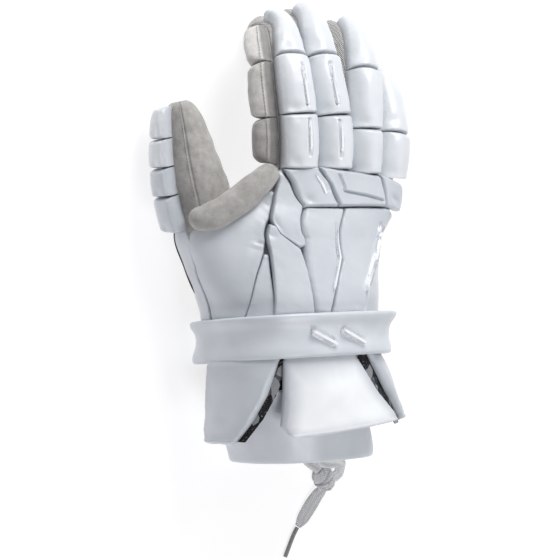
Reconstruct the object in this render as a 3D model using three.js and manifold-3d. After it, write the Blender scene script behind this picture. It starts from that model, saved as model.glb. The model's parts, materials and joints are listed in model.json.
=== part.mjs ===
// A padded lacrosse glove for the right hand, lying palm down on a floor.
// Sizes are millimetres. x runs to the little finger, y to the fingertips, z up.
// The origin is on the flat underside of the wrist strap.
import * as THREE from "three";
import { mergeVertices } from "three/addons/utils/BufferGeometryUtils.js";
import Module from "manifold-3d";

const wasm = await Module();
wasm.setup();

// Main sizes: wrist to knuckles, knuckles to the longest fingertip, wrist to the cuff's end,
// then the nominal width and height that the sections follow
const HAND_LENGTH = 118;
const FINGER_LENGTH = 109;
const CUFF_LENGTH = 92;
const GLOVE_WIDTH = 200;
const GLOVE_HEIGHT = 100;

// Walls, gaps and pad heights
const GAP = 0.3;
const SHELL_WALL = 2.4;
const STALL_WALL = 2.0;
const SLEEVE_WALL = 6.0;
const LINER_WALL = 2.4;
const ROLL_HEIGHT = 12.0;
const TIP_ROLL_HEIGHT = 10.5;
const THUMB_ROLL_HEIGHT = 11.0;
const INDEX_SIDE_HEIGHT = 11.0;
const KNUCKLE_HEIGHT = 13.0;
const BACK_HEIGHT = 10.0;
const SIDE_HEIGHT = 6.0;
const FLAP_HEIGHT = 9.0;
const STRAP_HEIGHT = 7.4;
const STRAP_SEAT = -0.8;
const STRAP_LIP = 2;
const BAR_HEIGHT = 2.2;
const BAR_CLEARANCE = 1.4;
const WEB_RADIUS = 10.5;
const LINING_THICKNESS = 1.6;
const SEAM_HALF_GAP = 0.45;
const EDGE_SHARE = 0.2;
const ROLL_OVERHANG = 1.3;

// Places along the glove, measured from the wrist
const PALM_START = 8;
const STRAP_TOP = 12;
const STRAP_BOTTOM = -15;
const LINER_END = -40;
const FLAP_START = STRAP_BOTTOM - STRAP_LIP;
const FINGER_START = HAND_LENGTH + GAP;
const FLOOR = 0;
const REST_SHIFT = 12;

// Heights at which a leaning section stays where it is, and where palm and back part
const LEAN_LEVEL = 0.55 * GLOVE_HEIGHT;
const PARTING_LEVEL = 0.46 * GLOVE_HEIGHT;

// Angles round a finger or the thumb between which its side pads lie
const INDEX_SIDE_LOW = 226;
const INDEX_SIDE_HIGH = 150;
const THUMB_ROLL_LOW = 238;
const THUMB_ROLL_HIGH = 160;

// Shares along the glove: above the wrist they follow the hand, below it the cuff.
const lengthwise = (share) => share * (share > 0 ? HAND_LENGTH : CUFF_LENGTH);
const sections = (rows) =>
  rows.map(([along, middle, level, thumb, little, up, down, ...shape]) => [
    lengthwise(along),
    middle * GLOVE_WIDTH,
    level * GLOVE_HEIGHT,
    thumb * GLOVE_WIDTH,
    little * GLOVE_WIDTH,
    up * GLOVE_HEIGHT,
    down * GLOVE_HEIGHT,
    ...shape,
  ]);

// The hand: one row per section, half widths and half heights around a middle line, as shares
// of the length, width or height that each follows.
// Lean tips a section over towards the fingers, slant turns it towards the little finger.
const ALONG = 0;
const HAND_COLUMNS = [
  "along", "middle", "level", "thumb", "little", "up", "down", "shoulder", "lean", "slant",
];
const HAND = sections([
  [-0.6522, -0.04, 0.54, 0.285, 0.28, 0.45, 0.45, 2.4, 0.2, 0],
  [0, -0.04, 0.54, 0.285, 0.28, 0.45, 0.45, 2.4, 0.2, 0],
  [0.1695, -0.04, 0.52, 0.305, 0.285, 0.44, 0.43, 2.2, 0.17, 0],
  [0.4237, -0.035, 0.45, 0.38, 0.3, 0.43, 0.38, 1.8, 0.1, 0],
  [0.6356, -0.02, 0.4, 0.44, 0.315, 0.42, 0.33, 1.6, 0.05, 0],
  [0.822, 0.04, 0.46, 0.37, 0.315, 0.31, 0.3, 1.8, 0, 0],
  [0.9661, 0.07, 0.54, 0.295, 0.3, 0.19, 0.24, 2.4, 0, 0],
  [1.0678, 0.075, 0.56, 0.28, 0.29, 0.16, 0.2, 2.6, 0, 0],
]);
const LITTLE_SHOULDER = 2.6;
const PALM_SHOULDER = 2.8;

// The strap, the flared surface that carries the flaps, and the narrowing sleeve.
const STRAP = sections([
  [-0.3261, -0.03, 0.56, 0.3, 0.34, 0.5, 0.5, 2.4, 0.2, 0.02],
  [-0.0326, -0.035, 0.55, 0.3, 0.325, 0.49, 0.5, 2.4, 0.2, 0.02],
  [0.2542, -0.035, 0.55, 0.325, 0.33, 0.5, 0.5, 2.4, 0.2, 0.02],
]);
const CUFF = sections([
  [-1.1957, 0.065, 0.54, 0.37, 0.37, 0.5, 0.48, 2.4, 0.16, 0.045],
  [-0.8152, 0.055, 0.54, 0.355, 0.38, 0.495, 0.48, 2.4, 0.17, 0.045],
  [-0.4891, 0.01, 0.54, 0.325, 0.335, 0.485, 0.47, 2.4, 0.19, 0.045],
  [-0.1957, -0.035, 0.54, 0.32, 0.305, 0.488, 0.475, 2.4, 0.2, 0.045],
]);
const SLEEVE = sections([
  [-1.1957, 0.11, 0.45, 0.27, 0.265, 0.41, 0.41, 2.3, 0.14, 0.02],
  [-1, 0.1, 0.455, 0.27, 0.265, 0.415, 0.415, 2.3, 0.15, 0.02],
  [-0.7065, 0.04, 0.49, 0.275, 0.265, 0.43, 0.43, 2.4, 0.18, 0.02],
  [-0.4348, -0.04, 0.54, 0.282, 0.28, 0.45, 0.45, 2.4, 0.2, 0],
]);

// Fingers: centre line rows from knuckle to end, then half width and half height there. y is a
// share of the finger length, for the thumb of the hand length; x and half_width are shares of
// the width, z and half_height of the height.
const FINGER_COLUMNS = ["x", "y", "z", "half_width", "half_height"];
const FINGERS = {
  index: {
    tilt: -6,
    rows: [
      [-0.126, 0, 0.6, 0.072, 0.126], [-0.13, 0.1991, 0.59, 0.072, 0.126],
      [-0.135, 0.3642, 0.565, 0.072, 0.126],
      [-0.145, 0.6028, 0.5, 0.068, 0.12], [-0.135, 0.7862, 0.38, 0.058, 0.106],
      [-0.12, 0.8872, 0.25, 0.049, 0.09],
      [-0.115, 0.9183, 0.11, 0.043, 0.082], [-0.115, 0.9239, 0.014, 0.024, 0.046],
    ],
  },
  middle: {
    tilt: 0,
    rows: [
      [0.022, 0, 0.62, 0.067, 0.12], [0.02, 0.1991, 0.61, 0.067, 0.12], [0.015, 0.3642, 0.58, 0.067, 0.12],
      [0, 0.6486, 0.48, 0.064, 0.116], [0.004, 0.8505, 0.35, 0.056, 0.104],
      [0.013, 0.9606, 0.225, 0.048, 0.09],
      [0.015, 0.9936, 0.105, 0.043, 0.082], [0.015, 0.9991, 0.012, 0.024, 0.046],
    ],
  },
  ring: {
    tilt: 8,
    rows: [
      [0.156, 0, 0.62, 0.059, 0.12], [0.154, 0.1624, 0.615, 0.0595, 0.12], [0.153, 0.3, 0.6, 0.06, 0.12],
      [0.1625, 0.5844, 0.53, 0.06, 0.116], [0.18, 0.7862, 0.4, 0.055, 0.104],
      [0.1925, 0.9009, 0.265, 0.048, 0.09],
      [0.195, 0.9367, 0.115, 0.043, 0.082], [0.195, 0.9422, 0.014, 0.024, 0.046],
    ],
  },
  pinky: {
    tilt: 16,
    rows: [
      [0.288, 0, 0.58, 0.063, 0.12], [0.295, 0.144, 0.57, 0.063, 0.12], [0.303, 0.2633, 0.545, 0.063, 0.12],
      [0.312, 0.4284, 0.465, 0.06, 0.112], [0.316, 0.5752, 0.355, 0.052, 0.1],
      [0.318, 0.6578, 0.245, 0.045, 0.086],
      [0.319, 0.6853, 0.115, 0.04, 0.074], [0.319, 0.6908, 0.016, 0.023, 0.044],
    ],
  },
  thumb: {
    tilt: 0,
    rows: [
      [-0.36, 0.5593, 0.36, 0.1, 0.22], [-0.395, 0.7119, 0.35, 0.11, 0.23],
      [-0.425, 0.8644, 0.325, 0.1075, 0.225],
      [-0.455, 1.0508, 0.29, 0.0925, 0.2], [-0.475, 1.2034, 0.265, 0.075, 0.17],
      [-0.4875, 1.2966, 0.25, 0.06, 0.14],
      [-0.495, 1.3559, 0.24, 0.0425, 0.1], [-0.498, 1.3771, 0.236, 0.024, 0.06],
    ],
  },
};
for (const [name, finger] of Object.entries(FINGERS)) {
  finger.rows = finger.rows.map(([x, y, z, halfWidth, halfHeight]) => [
    x * GLOVE_WIDTH,
    name === "thumb" ? y * HAND_LENGTH : FINGER_START + y * FINGER_LENGTH,
    z * GLOVE_HEIGHT,
    halfWidth * GLOVE_WIDTH,
    halfHeight * GLOVE_HEIGHT,
  ]);
}
const FINGER_CORNER = 2.9;
const THUMB_CORNER = 2.3;

// Small helpers for points and tables
const v = (x, y, z) => new THREE.Vector3(x, y, z);
const radians = (angle) => (angle * Math.PI) / 180;
const lerp = (a, b, share) => a + (b - a) * share;

// A smooth curve through the rows of a table that never swings past a row.
function smoothRow(table, place) {
  const last = table.length - 1;
  const at = Math.min(Math.max(place, table[0][ALONG]), table[last][ALONG]);
  let k = 0;
  while (k < last - 1 && at > table[k + 1][ALONG]) {
    k += 1;
  }
  const step = (i) => table[i + 1][ALONG] - table[i][ALONG];
  const slope = (i, column) => (table[i + 1][column] - table[i][column]) / step(i);
  const bend = (i, column) => {
    if (i === 0) {
      return slope(0, column);
    }
    if (i === last) {
      return slope(last - 1, column);
    }
    const before = slope(i - 1, column);
    const after = slope(i, column);
    if (before * after <= 0) {
      return 0;
    }
    const weightBefore = 2 * step(i) + step(i - 1);
    const weightAfter = step(i) + 2 * step(i - 1);
    return (weightBefore + weightAfter) / (weightBefore / before + weightAfter / after);
  };
  const share = (at - table[k][ALONG]) / step(k);
  const squared = share * share;
  const cubed = squared * share;
  return table[k].map((start, column) => {
    const end = table[k + 1][column];
    const riseStart = bend(k, column) * step(k);
    const riseEnd = bend(k + 1, column) * step(k);
    return (
      (2 * cubed - 3 * squared + 1) * start +
      (cubed - 2 * squared + share) * riseStart +
      (3 * squared - 2 * cubed) * end +
      (cubed - squared) * riseEnd
    );
  });
}

// A rounded section around the hand. Angle 0 is the little finger side, 90 the back.
function bodyPoint(table, angle, along, grow) {
  const row = smoothRow(table, along);
  const [, middle, level, thumb, little, up, down, shoulder, lean, slant] = row;
  const cosine = Math.cos(radians(angle));
  const sine = Math.sin(radians(angle));
  const left = 0.5 - 0.5 * Math.tanh(cosine / 0.18);
  const top = 0.5 + 0.5 * Math.tanh(sine / 0.18);
  const corner = top * lerp(LITTLE_SHOULDER, shoulder, left) + (1 - top) * PALM_SHOULDER;
  const reach = (Math.abs(cosine) ** corner + Math.abs(sine) ** corner) ** (-1 / corner);
  const across = (cosine > 0 ? little : thumb) + grow;
  const height = (sine > 0 ? up : down) + grow;
  const x = middle + across * reach * cosine;
  const z = level + height * reach * sine;
  return v(x, along + (z - LEAN_LEVEL) * lean + (x - middle) * slant, z);
}

const handPoint = (angle, along) => bodyPoint(HAND, angle, along, 0);
const cuffPoint = (angle, along) => bodyPoint(CUFF, angle, along, 0);

// A finger: the same kind of section, square to its own centre line.
function fingerSurface(finger, corner) {
  const table = finger.rows.map((row, i) => [i, ...row]);
  const centre = (place) => {
    const row = smoothRow(table, place);
    return v(row[1], row[2], row[3]);
  };
  const lean = v(Math.sin(radians(finger.tilt)), 0, Math.cos(radians(finger.tilt)));
  return (angle, place, grow = 0, rise = grow) => {
    const row = smoothRow(table, place);
    const ahead = centre(Math.min(place + 0.05, table.length - 1));
    const behind = centre(Math.max(place - 0.05, 0));
    const forward = ahead.sub(behind).normalize();
    if (place < 0.02) {
      forward.set(0, 1, 0);
    }
    const across = forward.clone().cross(lean).normalize();
    const up = across.clone().cross(forward).normalize();
    const cosine = Math.cos(radians(angle));
    const sine = Math.sin(radians(angle));
    const reach = (Math.abs(cosine) ** corner + Math.abs(sine) ** corner) ** (-1 / corner);
    return v(row[1], row[2], row[3])
      .addScaledVector(across, (row[4] + grow) * reach * cosine)
      .addScaledVector(up, (row[5] + rise) * reach * sine);
  };
}

const fingerPoint = {};
for (const [name, finger] of Object.entries(FINGERS)) {
  fingerPoint[name] = fingerSurface(finger, name === "thumb" ? THUMB_CORNER : FINGER_CORNER);
}

// Solids from rings of points and from patches
function solidFrom(points, faces) {
  const build = (list) =>
    new wasm.Manifold(
      new wasm.Mesh({
        numProp: 3,
        vertProperties: new Float32Array(points.flatMap((p) => [p.x, p.y, p.z])),
        triVerts: new Uint32Array(list.flat()),
      }),
    );
  let signed = 0;
  for (const [a, b, c] of faces) {
    signed += points[a].dot(points[b].clone().cross(points[c]));
  }
  return build(signed > 0 ? faces : faces.map(([a, b, c]) => [a, c, b]));
}

function loft(rings) {
  const count = rings[0].length;
  const points = rings.flat();
  const faces = [];
  for (let r = 0; r + 1 < rings.length; r += 1) {
    for (let i = 0; i < count; i += 1) {
      const j = (i + 1) % count;
      const here = r * count;
      const next = here + count;
      faces.push([here + i, here + j, next + j]);
      faces.push([here + i, next + j, next + i]);
    }
  }
  for (const [ring, flip] of [[0, true], [rings.length - 1, false]]) {
    const middle = v(0, 0, 0);
    for (const p of rings[ring]) {
      middle.addScaledVector(p, 1 / count);
    }
    points.push(middle);
    const hub = points.length - 1;
    for (let i = 0; i < count; i += 1) {
      const a = ring * count + i;
      const b = ring * count + ((i + 1) % count);
      faces.push(flip ? [hub, b, a] : [hub, a, b]);
    }
  }
  return solidFrom(points, faces);
}

const turn = (count) => Array.from({ length: count }, (_, i) => (i * 360) / count);
const steps = (from, to, count) => {
  return Array.from({ length: count + 1 }, (_, i) => lerp(from, to, i / count));
};

function bodyLoft(table, places, grow, sides = 28) {
  return loft(places.map((along) => turn(sides).map((a) => bodyPoint(table, a, along, grow))));
}

const OUTER_PLACES = [0, 1, 2, 3, 4, 4.8, 5.6, 6.5, 7];
const INNER_PLACES = [0, 1, 2, 3.2, 4.2, 5.2, 6.2, 7];
function fingerLoft(name, grow, places = OUTER_PLACES, sides = 12) {
  const rings = places.map((place) => turn(sides).map((a) => fingerPoint[name](a, place, grow)));
  if (grow !== 0) {
    // the closed end moves in or out by the same amount
    const end = rings.length - 1;
    const step = rings[end][0].clone();
    const middle = (ring) => {
      const sum = v(0, 0, 0);
      ring.forEach((p) => sum.addScaledVector(p, 1 / ring.length));
      return sum;
    };
    step.copy(middle(rings[end])).sub(middle(rings[end - 1])).normalize();
    rings[end].forEach((p) => p.addScaledVector(step, grow));
  }
  return loft(rings);
}

// A slab of space used to part the shell into its pieces.
function block(x0, x1, y0, y1, z0, z1) {
  const geometry = new THREE.BoxGeometry(x1 - x0, y1 - y0, z1 - z0);
  geometry.translate((x0 + x1) / 2, (y0 + y1) / 2, (z0 + z1) / 2);
  geometry.deleteAttribute("normal");
  geometry.deleteAttribute("uv");
  const merged = mergeVertices(geometry, 1e-4);
  return new wasm.Manifold(
    new wasm.Mesh({
      numProp: 3,
      vertProperties: new Float32Array(merged.attributes.position.array),
      triVerts: new Uint32Array(merged.index.array),
    }),
  );
}

const largest = (solid) => {
  const pieces = solid.decompose();
  return pieces.reduce((best, piece) => (piece.volume() > best.volume() ? piece : best));
};

// The body inside the pads: hand, fingers and thumb as outer and inner volumes
const HAND_SHARES = [0.2373, 0.4237, 0.5424, 0.6356, 0.7288, 0.822, 0.9068];
const HAND_PLACES = [PALM_START, ...HAND_SHARES.map(lengthwise), HAND_LENGTH];
const INNER_SHARES = [0.2542, 0.4407, 0.6356, 0.7288, 0.822, 0.9153];
const HAND_INNER_PLACES = [PALM_START - 5, ...INNER_SHARES.map(lengthwise), HAND_LENGTH + 1];
const handOuter = bodyLoft(HAND, HAND_PLACES, 0);
const handInner = bodyLoft(HAND, HAND_INNER_PLACES, -SHELL_WALL, 18);
const handGrown = bodyLoft(
  HAND,
  [PALM_START - 1, ...HAND_PLACES.slice(1, -1), HAND_LENGTH + GAP],
  GAP,
);

const FOUR = ["index", "middle", "ring", "pinky"];
const stallGrown = {};
for (const name of Object.keys(FINGERS)) {
  stallGrown[name] = fingerLoft(name, GAP);
}
const bodyGrown = Object.values(stallGrown).reduce((sum, piece) => sum.add(piece), handGrown);

// Hollow stalls: each is open towards the hand and closed at its end.
const FAR = 2 * (HAND_LENGTH + FINGER_LENGTH);
const openEnd = block(-FAR, FAR, FINGER_START - FAR, FINGER_START, -FAR, FAR);
const stalls = {};
for (const name of FOUR) {
  const outer = fingerLoft(name, 0);
  const inner = fingerLoft(name, -STALL_WALL, INNER_PLACES, 8);
  const start = fingerPoint[name];
  const plug = loft([
    turn(8).map((a) => start(a, 0, -STALL_WALL).add(v(0, -3, 0))),
    turn(8).map((a) => start(a, 0, -STALL_WALL).add(v(0, 3, 0))),
  ]);
  stalls[name] = largest(outer.subtract(inner.add(plug)).subtract(openEnd));
}

const thumbOuter = fingerLoft("thumb", 0);
const thumbInner = fingerLoft("thumb", -STALL_WALL, INNER_PLACES, 10);
const handShell = handOuter.subtract(handInner).subtract(thumbInner);
stalls.thumb = largest(thumbOuter.subtract(thumbInner).subtract(handGrown));
const handClear = handShell.subtract(stallGrown.thumb);
const backHalf = block(-FAR, FAR, -FAR, FAR, PARTING_LEVEL + GAP / 2, FAR);
const palmHalf = block(-FAR, FAR, -FAR, FAR, -FAR, PARTING_LEVEL - GAP / 2);
const backShell = largest(handClear.intersect(backHalf));
const palmShell = largest(handClear.intersect(palmHalf));

// A crowned cushion on a surface. Each row: along and angle at its left, then at its right.
const CUSHION = [-1, -0.84, -0.32, 0.32, 0.84, 1];
const SMALL_CUSHION = [-1, -0.75, 0, 0.75, 1];
const WIDE_CUSHION = [-1, -0.94, -0.72, -0.48, -0.24, 0, 0.24, 0.48, 0.72, 0.94, 1];
const small = { across: SMALL_CUSHION, lengthwise: SMALL_CUSHION };
function outward(point, angle, along) {
  const step = 0.4;
  const sideways = point(angle + step, along).sub(point(angle - step, along));
  const forward = point(angle, along + step).sub(point(angle, along - step));
  const normal = sideways.cross(forward).normalize();
  const from = point(angle, along).sub(point(angle + 180, along));
  return normal.dot(from) < 0 ? normal.negate() : normal;
}

// How far a cushion stands up: straight out from the hand, or by widening a finger's section.
function onBody(point, height) {
  return (angle, along, share) => {
    return point(angle, along).addScaledVector(outward(point, angle, along), share * height);
  };
}

function onFinger(name, aside, above) {
  return (angle, place, share) => fingerPoint[name](angle, place, share * aside, share * above);
}

function rowAt(rows, share) {
  const place = share * (rows.length - 1);
  const k = Math.min(Math.floor(place), rows.length - 2);
  return rows[k].map((start, i) => lerp(start, rows[k + 1][i], place - k));
}

function cushion(lift, rows, options = {}) {
  const edge = options.edge ?? EDGE_SHARE;
  const depth = options.depth ?? 0.2;
  const crown = options.crown ?? 3.2;
  const crest = options.crest ?? 1;
  const seam = options.seam ?? SEAM_HALF_GAP;
  const across = options.across ?? CUSHION;
  const lengthwise = options.lengthwise ?? CUSHION;
  const spot = ([aL, gL, aR, gR], share) => lift(lerp(gL, gR, share), lerp(aL, aR, share), 0);
  const long = Math.max(spot(rowAt(rows, 0), 0.5).distanceTo(spot(rowAt(rows, 1), 0.5)), 4);
  const top = [];
  const base = [];
  for (const w of lengthwise) {
    const row = rowAt(rows, 0.5 + 0.5 * w * (1 - (2 * seam) / long));
    const wide = Math.max(spot(row, 0).distanceTo(spot(row, 1)), 2.2 * SEAM_HALF_GAP);
    for (const u of across) {
      const share = 0.5 + 0.5 * u * (1 - (2 * seam) / wide);
      const angle = lerp(row[1], row[3], share);
      const along = lerp(row[0], row[2], share);
      const puff = ((1 - Math.abs(u) ** crown) * (1 - Math.abs(w) ** crown)) ** 0.42;
      top.push(lift(angle, along, edge + (crest - edge) * puff));
      base.push(lift(angle, along, -depth));
    }
  }
  return patchSolid(top, base, across.length, lengthwise.length);
}

function patchSolid(top, base, columns, count) {
  const points = [...top, ...base];
  const under = top.length;
  const faces = [];
  for (let r = 0; r + 1 < count; r += 1) {
    for (let c = 0; c + 1 < columns; c += 1) {
      const a = r * columns + c;
      const b = a + 1;
      const d = a + columns;
      const e = d + 1;
      faces.push([a, b, e], [a, e, d]);
      faces.push([under + a, under + e, under + b], [under + a, under + d, under + e]);
    }
  }
  const rim = [];
  for (let c = 0; c + 1 < columns; c += 1) {
    rim.push(c);
  }
  for (let r = 0; r + 1 < count; r += 1) {
    rim.push(r * columns + columns - 1);
  }
  for (let c = columns - 1; c > 0; c -= 1) {
    rim.push((count - 1) * columns + c);
  }
  for (let r = count - 1; r > 0; r -= 1) {
    rim.push(r * columns);
  }
  for (let i = 0; i < rim.length; i += 1) {
    const p = rim[i];
    const q = rim[(i + 1) % rim.length];
    faces.push([q, p, under + p], [q, under + p, under + q]);
  }
  return solidFrom(points, faces);
}

const parts = [];
function keep(name, solid, color, roughness = 0.6, metalness = 0) {
  parts.push({ name, solid, color, roughness, metalness });
}

const WHITE = 0xdfe2e6;
const SUEDE = 0xafaca8;
const MESH = 0xb0aea6;
const SILVER = 0xc4c8cc;
const DARK = 0x2b2b2e;
const LACE = 0xd9d8d4;

keep("palm_suede", palmShell, SUEDE, 0.9);
keep("back_shell", backShell, WHITE, 0.6);
for (const name of Object.keys(FINGERS)) {
  keep(`${name}_stall`, stalls[name], SUEDE, 0.9);
}

// Rolls on the fingers: place at the left, angle at the left, then the same at the right
const ROLLS = {
  index: [[0.36, 1.95, 16, 146], [2.03, 3.35, 16, 146], [3.42, 5.35, 22, 143]],
  middle: [[0.4, 1.97, 16, 164], [2.03, 3.2, 16, 164], [3.28, 5.3, 20, 160]],
  ring: [[0.32, 1.97, 16, 164], [2.03, 3.2, 16, 164], [3.28, 5.3, 20, 160]],
  pinky: [[0.1, 1.97, 14, 160], [2.03, 4.6, 16, 160]],
};
for (const [name, rolls] of Object.entries(ROLLS)) {
  rolls.forEach(([from, to, right, left], i) => {
    const height = i + 1 === rolls.length ? TIP_ROLL_HEIGHT : ROLL_HEIGHT;
    const pad = cushion(
      onFinger(name, ROLL_OVERHANG, height),
      [[from, left, from, right], [to, left, to, right]],
      { crown: 4 },
    );
    keep(`${name}_roll_${i + 1}`, largest(pad.subtract(bodyGrown)), WHITE, 0.45);
  });
}

// Suede pads on the side of the index finger that faces the thumb
[[0.28, 1.9], [2.0, 3.3], [3.4, 4.7]].forEach(([from, to], i) => {
  const rows = [
    [from, INDEX_SIDE_LOW, from, INDEX_SIDE_HIGH],
    [to, INDEX_SIDE_LOW, to, INDEX_SIDE_HIGH],
  ];
  const pad = cushion(onFinger("index", INDEX_SIDE_HEIGHT, 0), rows, small);
  keep(`index_side_pad_${i + 1}`, largest(pad.subtract(bodyGrown)), SUEDE, 0.9);
});

// Rolls down the outer side of the thumb
const THUMB_ROLLS = [[3.95, 6.2], [2.92, 3.88], [2.1, 2.85], [1.0, 2.03]];
THUMB_ROLLS.forEach(([from, to], i) => {
  const rows = [
    [from, THUMB_ROLL_LOW, from, THUMB_ROLL_HIGH],
    [to, THUMB_ROLL_LOW, to, THUMB_ROLL_HIGH],
  ];
  const pad = cushion(onFinger("thumb", THUMB_ROLL_HEIGHT, THUMB_ROLL_HEIGHT / 3), rows, small);
  keep(`thumb_roll_${i + 1}`, largest(pad.subtract(bodyGrown)), WHITE, 0.45);
});

// Pads on the back of the hand: share along and angle at the left side, then at the right
const placed = (rows) =>
  rows.map(([left, leftAngle, right, rightAngle]) => [
    lengthwise(left), leftAngle, lengthwise(right), rightAngle,
  ]);
const BACK_PADS = {
  back_pad_triangle: [BACK_HEIGHT, [[1.0085, 152.5, 1.0169, 149], [0.8508, 139.6, 0.7881, 115],
    [0.7051, 127.5, 0.6068, 105], [0.5356, 107.5, 0.5517, 104.2]]],
  back_pad_lower_left: [BACK_HEIGHT, [[0.6712, 126.5, 0.6627, 122.5], [0.5254, 125, 0.5254, 107.5],
    [0.3898, 126.5, 0.3898, 105.9], [0.1305, 131, 0.1305, 106.8]]],
  back_pad_centre: [BACK_HEIGHT, [[0.7695, 110.9, 0.75, 89.6], [0.6068, 104, 0.6017, 86],
    [0.4627, 104.2, 0.4644, 83.1], [0.1305, 106, 0.1305, 92.9]]],
  back_pad_right: [BACK_HEIGHT, [[0.7568, 88.7, 0.8008, 48], [0.6017, 85.2, 0.6356, 46],
    [0.4644, 82.3, 0.4644, 50], [0.1305, 92.1, 0.1305, 63]]],
  back_edge_strip: [BACK_HEIGHT - 2, [[0.8008, 47, 0.7458, 12], [0.6356, 45, 0.6017, 10],
    [0.4644, 49, 0.4644, 8], [0.1305, 62, 0.1305, 8]]],
  knuckle_pad_left: [KNUCKLE_HEIGHT, [[1.0254, 147, 1.0551, 121], [0.9068, 131.5, 0.9364, 108],
    [0.7847, 114, 0.8, 94.6]]],
  knuckle_pad_right: [KNUCKLE_HEIGHT, [[1.0508, 118.6, 0.9797, 66.4], [0.9322, 106.4, 0.9025, 61.4],
    [0.8017, 93.4, 0.822, 57.4]]],
  knuckle_nub: [KNUCKLE_HEIGHT - 1, [[0.9873, 64.9, 0.9237, 40], [0.9068, 60.2, 0.8559, 36],
    [0.8186, 55.8, 0.8102, 34]]],
  side_panel: [SIDE_HEIGHT, [[0.8805, 152.6, 0.8822, 144], [0.7559, 154.8, 0.7119, 134],
    [0.6602, 158, 0.5805, 127.5], [0.5932, 171, 0.5085, 129.8], [0.3788, 185.8, 0.322, 142],
    [0.1356, 190, 0.1271, 153]]],
  side_panel_lower: [SIDE_HEIGHT, [[0.5, 128.6, 0.5, 126.2], [0.1271, 152, 0.1271, 132]]],
  thumb_side_strip: [SIDE_HEIGHT, [[0.678, 218, 0.6525, 180], [0.5932, 220, 0.5763, 174],
    [0.3814, 222, 0.3788, 187], [0.1271, 222, 0.1356, 191]]],
};
for (const [name, [height, rows]] of Object.entries(BACK_PADS)) {
  const grid = /lower$|nub$/.test(name) ? small : {};
  const pad = cushion(onBody(handPoint, height), placed(rows), grid);
  keep(name, largest(pad.subtract(bodyGrown)), WHITE, 0.45);
}

// The suede roll over the web between thumb and index finger: a curved sausage
const WEB_COLUMNS = ["x", "y", "z", "radius"];
const WEB = [
  [-0.52, 0.7119, 0.52, 0.5714], [-0.485, 0.7119, 0.57, 0.8571], [-0.43, 0.7458, 0.61, 1],
  [-0.365, 0.822, 0.65, 1], [-0.305, 0.9153, 0.68, 0.9524], [-0.26, 0.9831, 0.69, 0.8095],
  [-0.225, 1.0254, 0.68, 0.5714],
];
const webTable = WEB.map(([x, y, z, radius], i) => [
  i, x * GLOVE_WIDTH, y * HAND_LENGTH, z * GLOVE_HEIGHT, radius * WEB_RADIUS,
]);
const webRings = steps(0, WEB.length - 1, 9).map((place) => {
  const row = smoothRow(webTable, place);
  const ahead = smoothRow(webTable, place + 0.1);
  const behind = smoothRow(webTable, place - 0.1);
  const forward = v(ahead[1] - behind[1], ahead[2] - behind[2], ahead[3] - behind[3]).normalize();
  const across = forward.clone().cross(v(0, 0, 1)).normalize();
  const up = across.clone().cross(forward).normalize();
  return turn(10).map((a) =>
    v(row[1], row[2], row[3])
      .addScaledVector(across, row[4] * Math.cos(radians(a)))
      .addScaledVector(up, row[4] * Math.sin(radians(a))),
  );
});
const padsNearWeb = parts
  .filter((part) => /side_panel|triangle|knuckle_pad_left|index_side_pad_1|thumb_roll/.test(part.name))
  .map((part) => part.solid);
let web = loft(webRings).subtract(bodyGrown);
for (const solid of padsNearWeb) {
  web = web.subtract(solid);
}
keep("web_roll", largest(web), SUEDE, 0.9);

// The liner at the wrist and the padded sleeve below it
const ring = (table, places, outerGrow, wall, sides = 28) => {
  const outer = bodyLoft(table, places, outerGrow, sides);
  const inner = bodyLoft(
    table,
    [places[0] - 5, ...places.slice(1, -1), places[places.length - 1] + 5],
    outerGrow - wall,
    sides,
  );
  return outer.subtract(inner);
};
const linerPlaces = [LINER_END + GAP, PALM_START - GAP];
keep("wrist_liner", ring(HAND, linerPlaces, 0, LINER_WALL, 22), DARK, 0.9);
const sleevePlaces = [-CUFF_LENGTH, -0.891 * CUFF_LENGTH, -0.707 * CUFF_LENGTH, LINER_END];
keep("cuff_sleeve", ring(SLEEVE, sleevePlaces, 0, SLEEVE_WALL, 22), WHITE, 0.7);

// The strap round the wrist, flat where it rests on the floor
const STRAP_MIDDLE = lerp(STRAP_BOTTOM, STRAP_TOP, 0.5);
const STRAP_PROFILE = [
  [STRAP_BOTTOM, 0.16 * STRAP_HEIGHT], [STRAP_BOTTOM - STRAP_LIP, 0.62 * STRAP_HEIGHT],
  [STRAP_BOTTOM - 0.3 * STRAP_LIP, 0.92 * STRAP_HEIGHT],
  [lerp(STRAP_BOTTOM, STRAP_TOP, 0.18), STRAP_HEIGHT], [STRAP_MIDDLE, STRAP_HEIGHT],
  [lerp(STRAP_BOTTOM, STRAP_TOP, 0.82), 1.2 * STRAP_HEIGHT],
  [STRAP_TOP + 0.5 * STRAP_LIP, 1.4 * STRAP_HEIGHT], [STRAP_TOP + STRAP_LIP, 0.95 * STRAP_HEIGHT],
  [STRAP_TOP, 0.4 * STRAP_HEIGHT], [STRAP_MIDDLE, STRAP_SEAT],
];
function hoop(table, profile, sides = 26) {
  const count = profile.length;
  const points = turn(sides).flatMap((angle) =>
    profile.map(([along, out]) => {
      const p = bodyPoint(table, angle, along, out);
      p.z = Math.max(p.z, FLOOR);
      return p;
    }),
  );
  const faces = [];
  for (let i = 0; i < sides; i += 1) {
    for (let k = 0; k < count; k += 1) {
      const a = i * count + k;
      const b = i * count + ((k + 1) % count);
      const c = ((i + 1) % sides) * count + k;
      const d = ((i + 1) % sides) * count + ((k + 1) % count);
      faces.push([a, b, d], [a, d, c]);
    }
  }
  return solidFrom(points, faces);
}
keep("wrist_strap", hoop(STRAP, STRAP_PROFILE), WHITE, 0.5);

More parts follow.
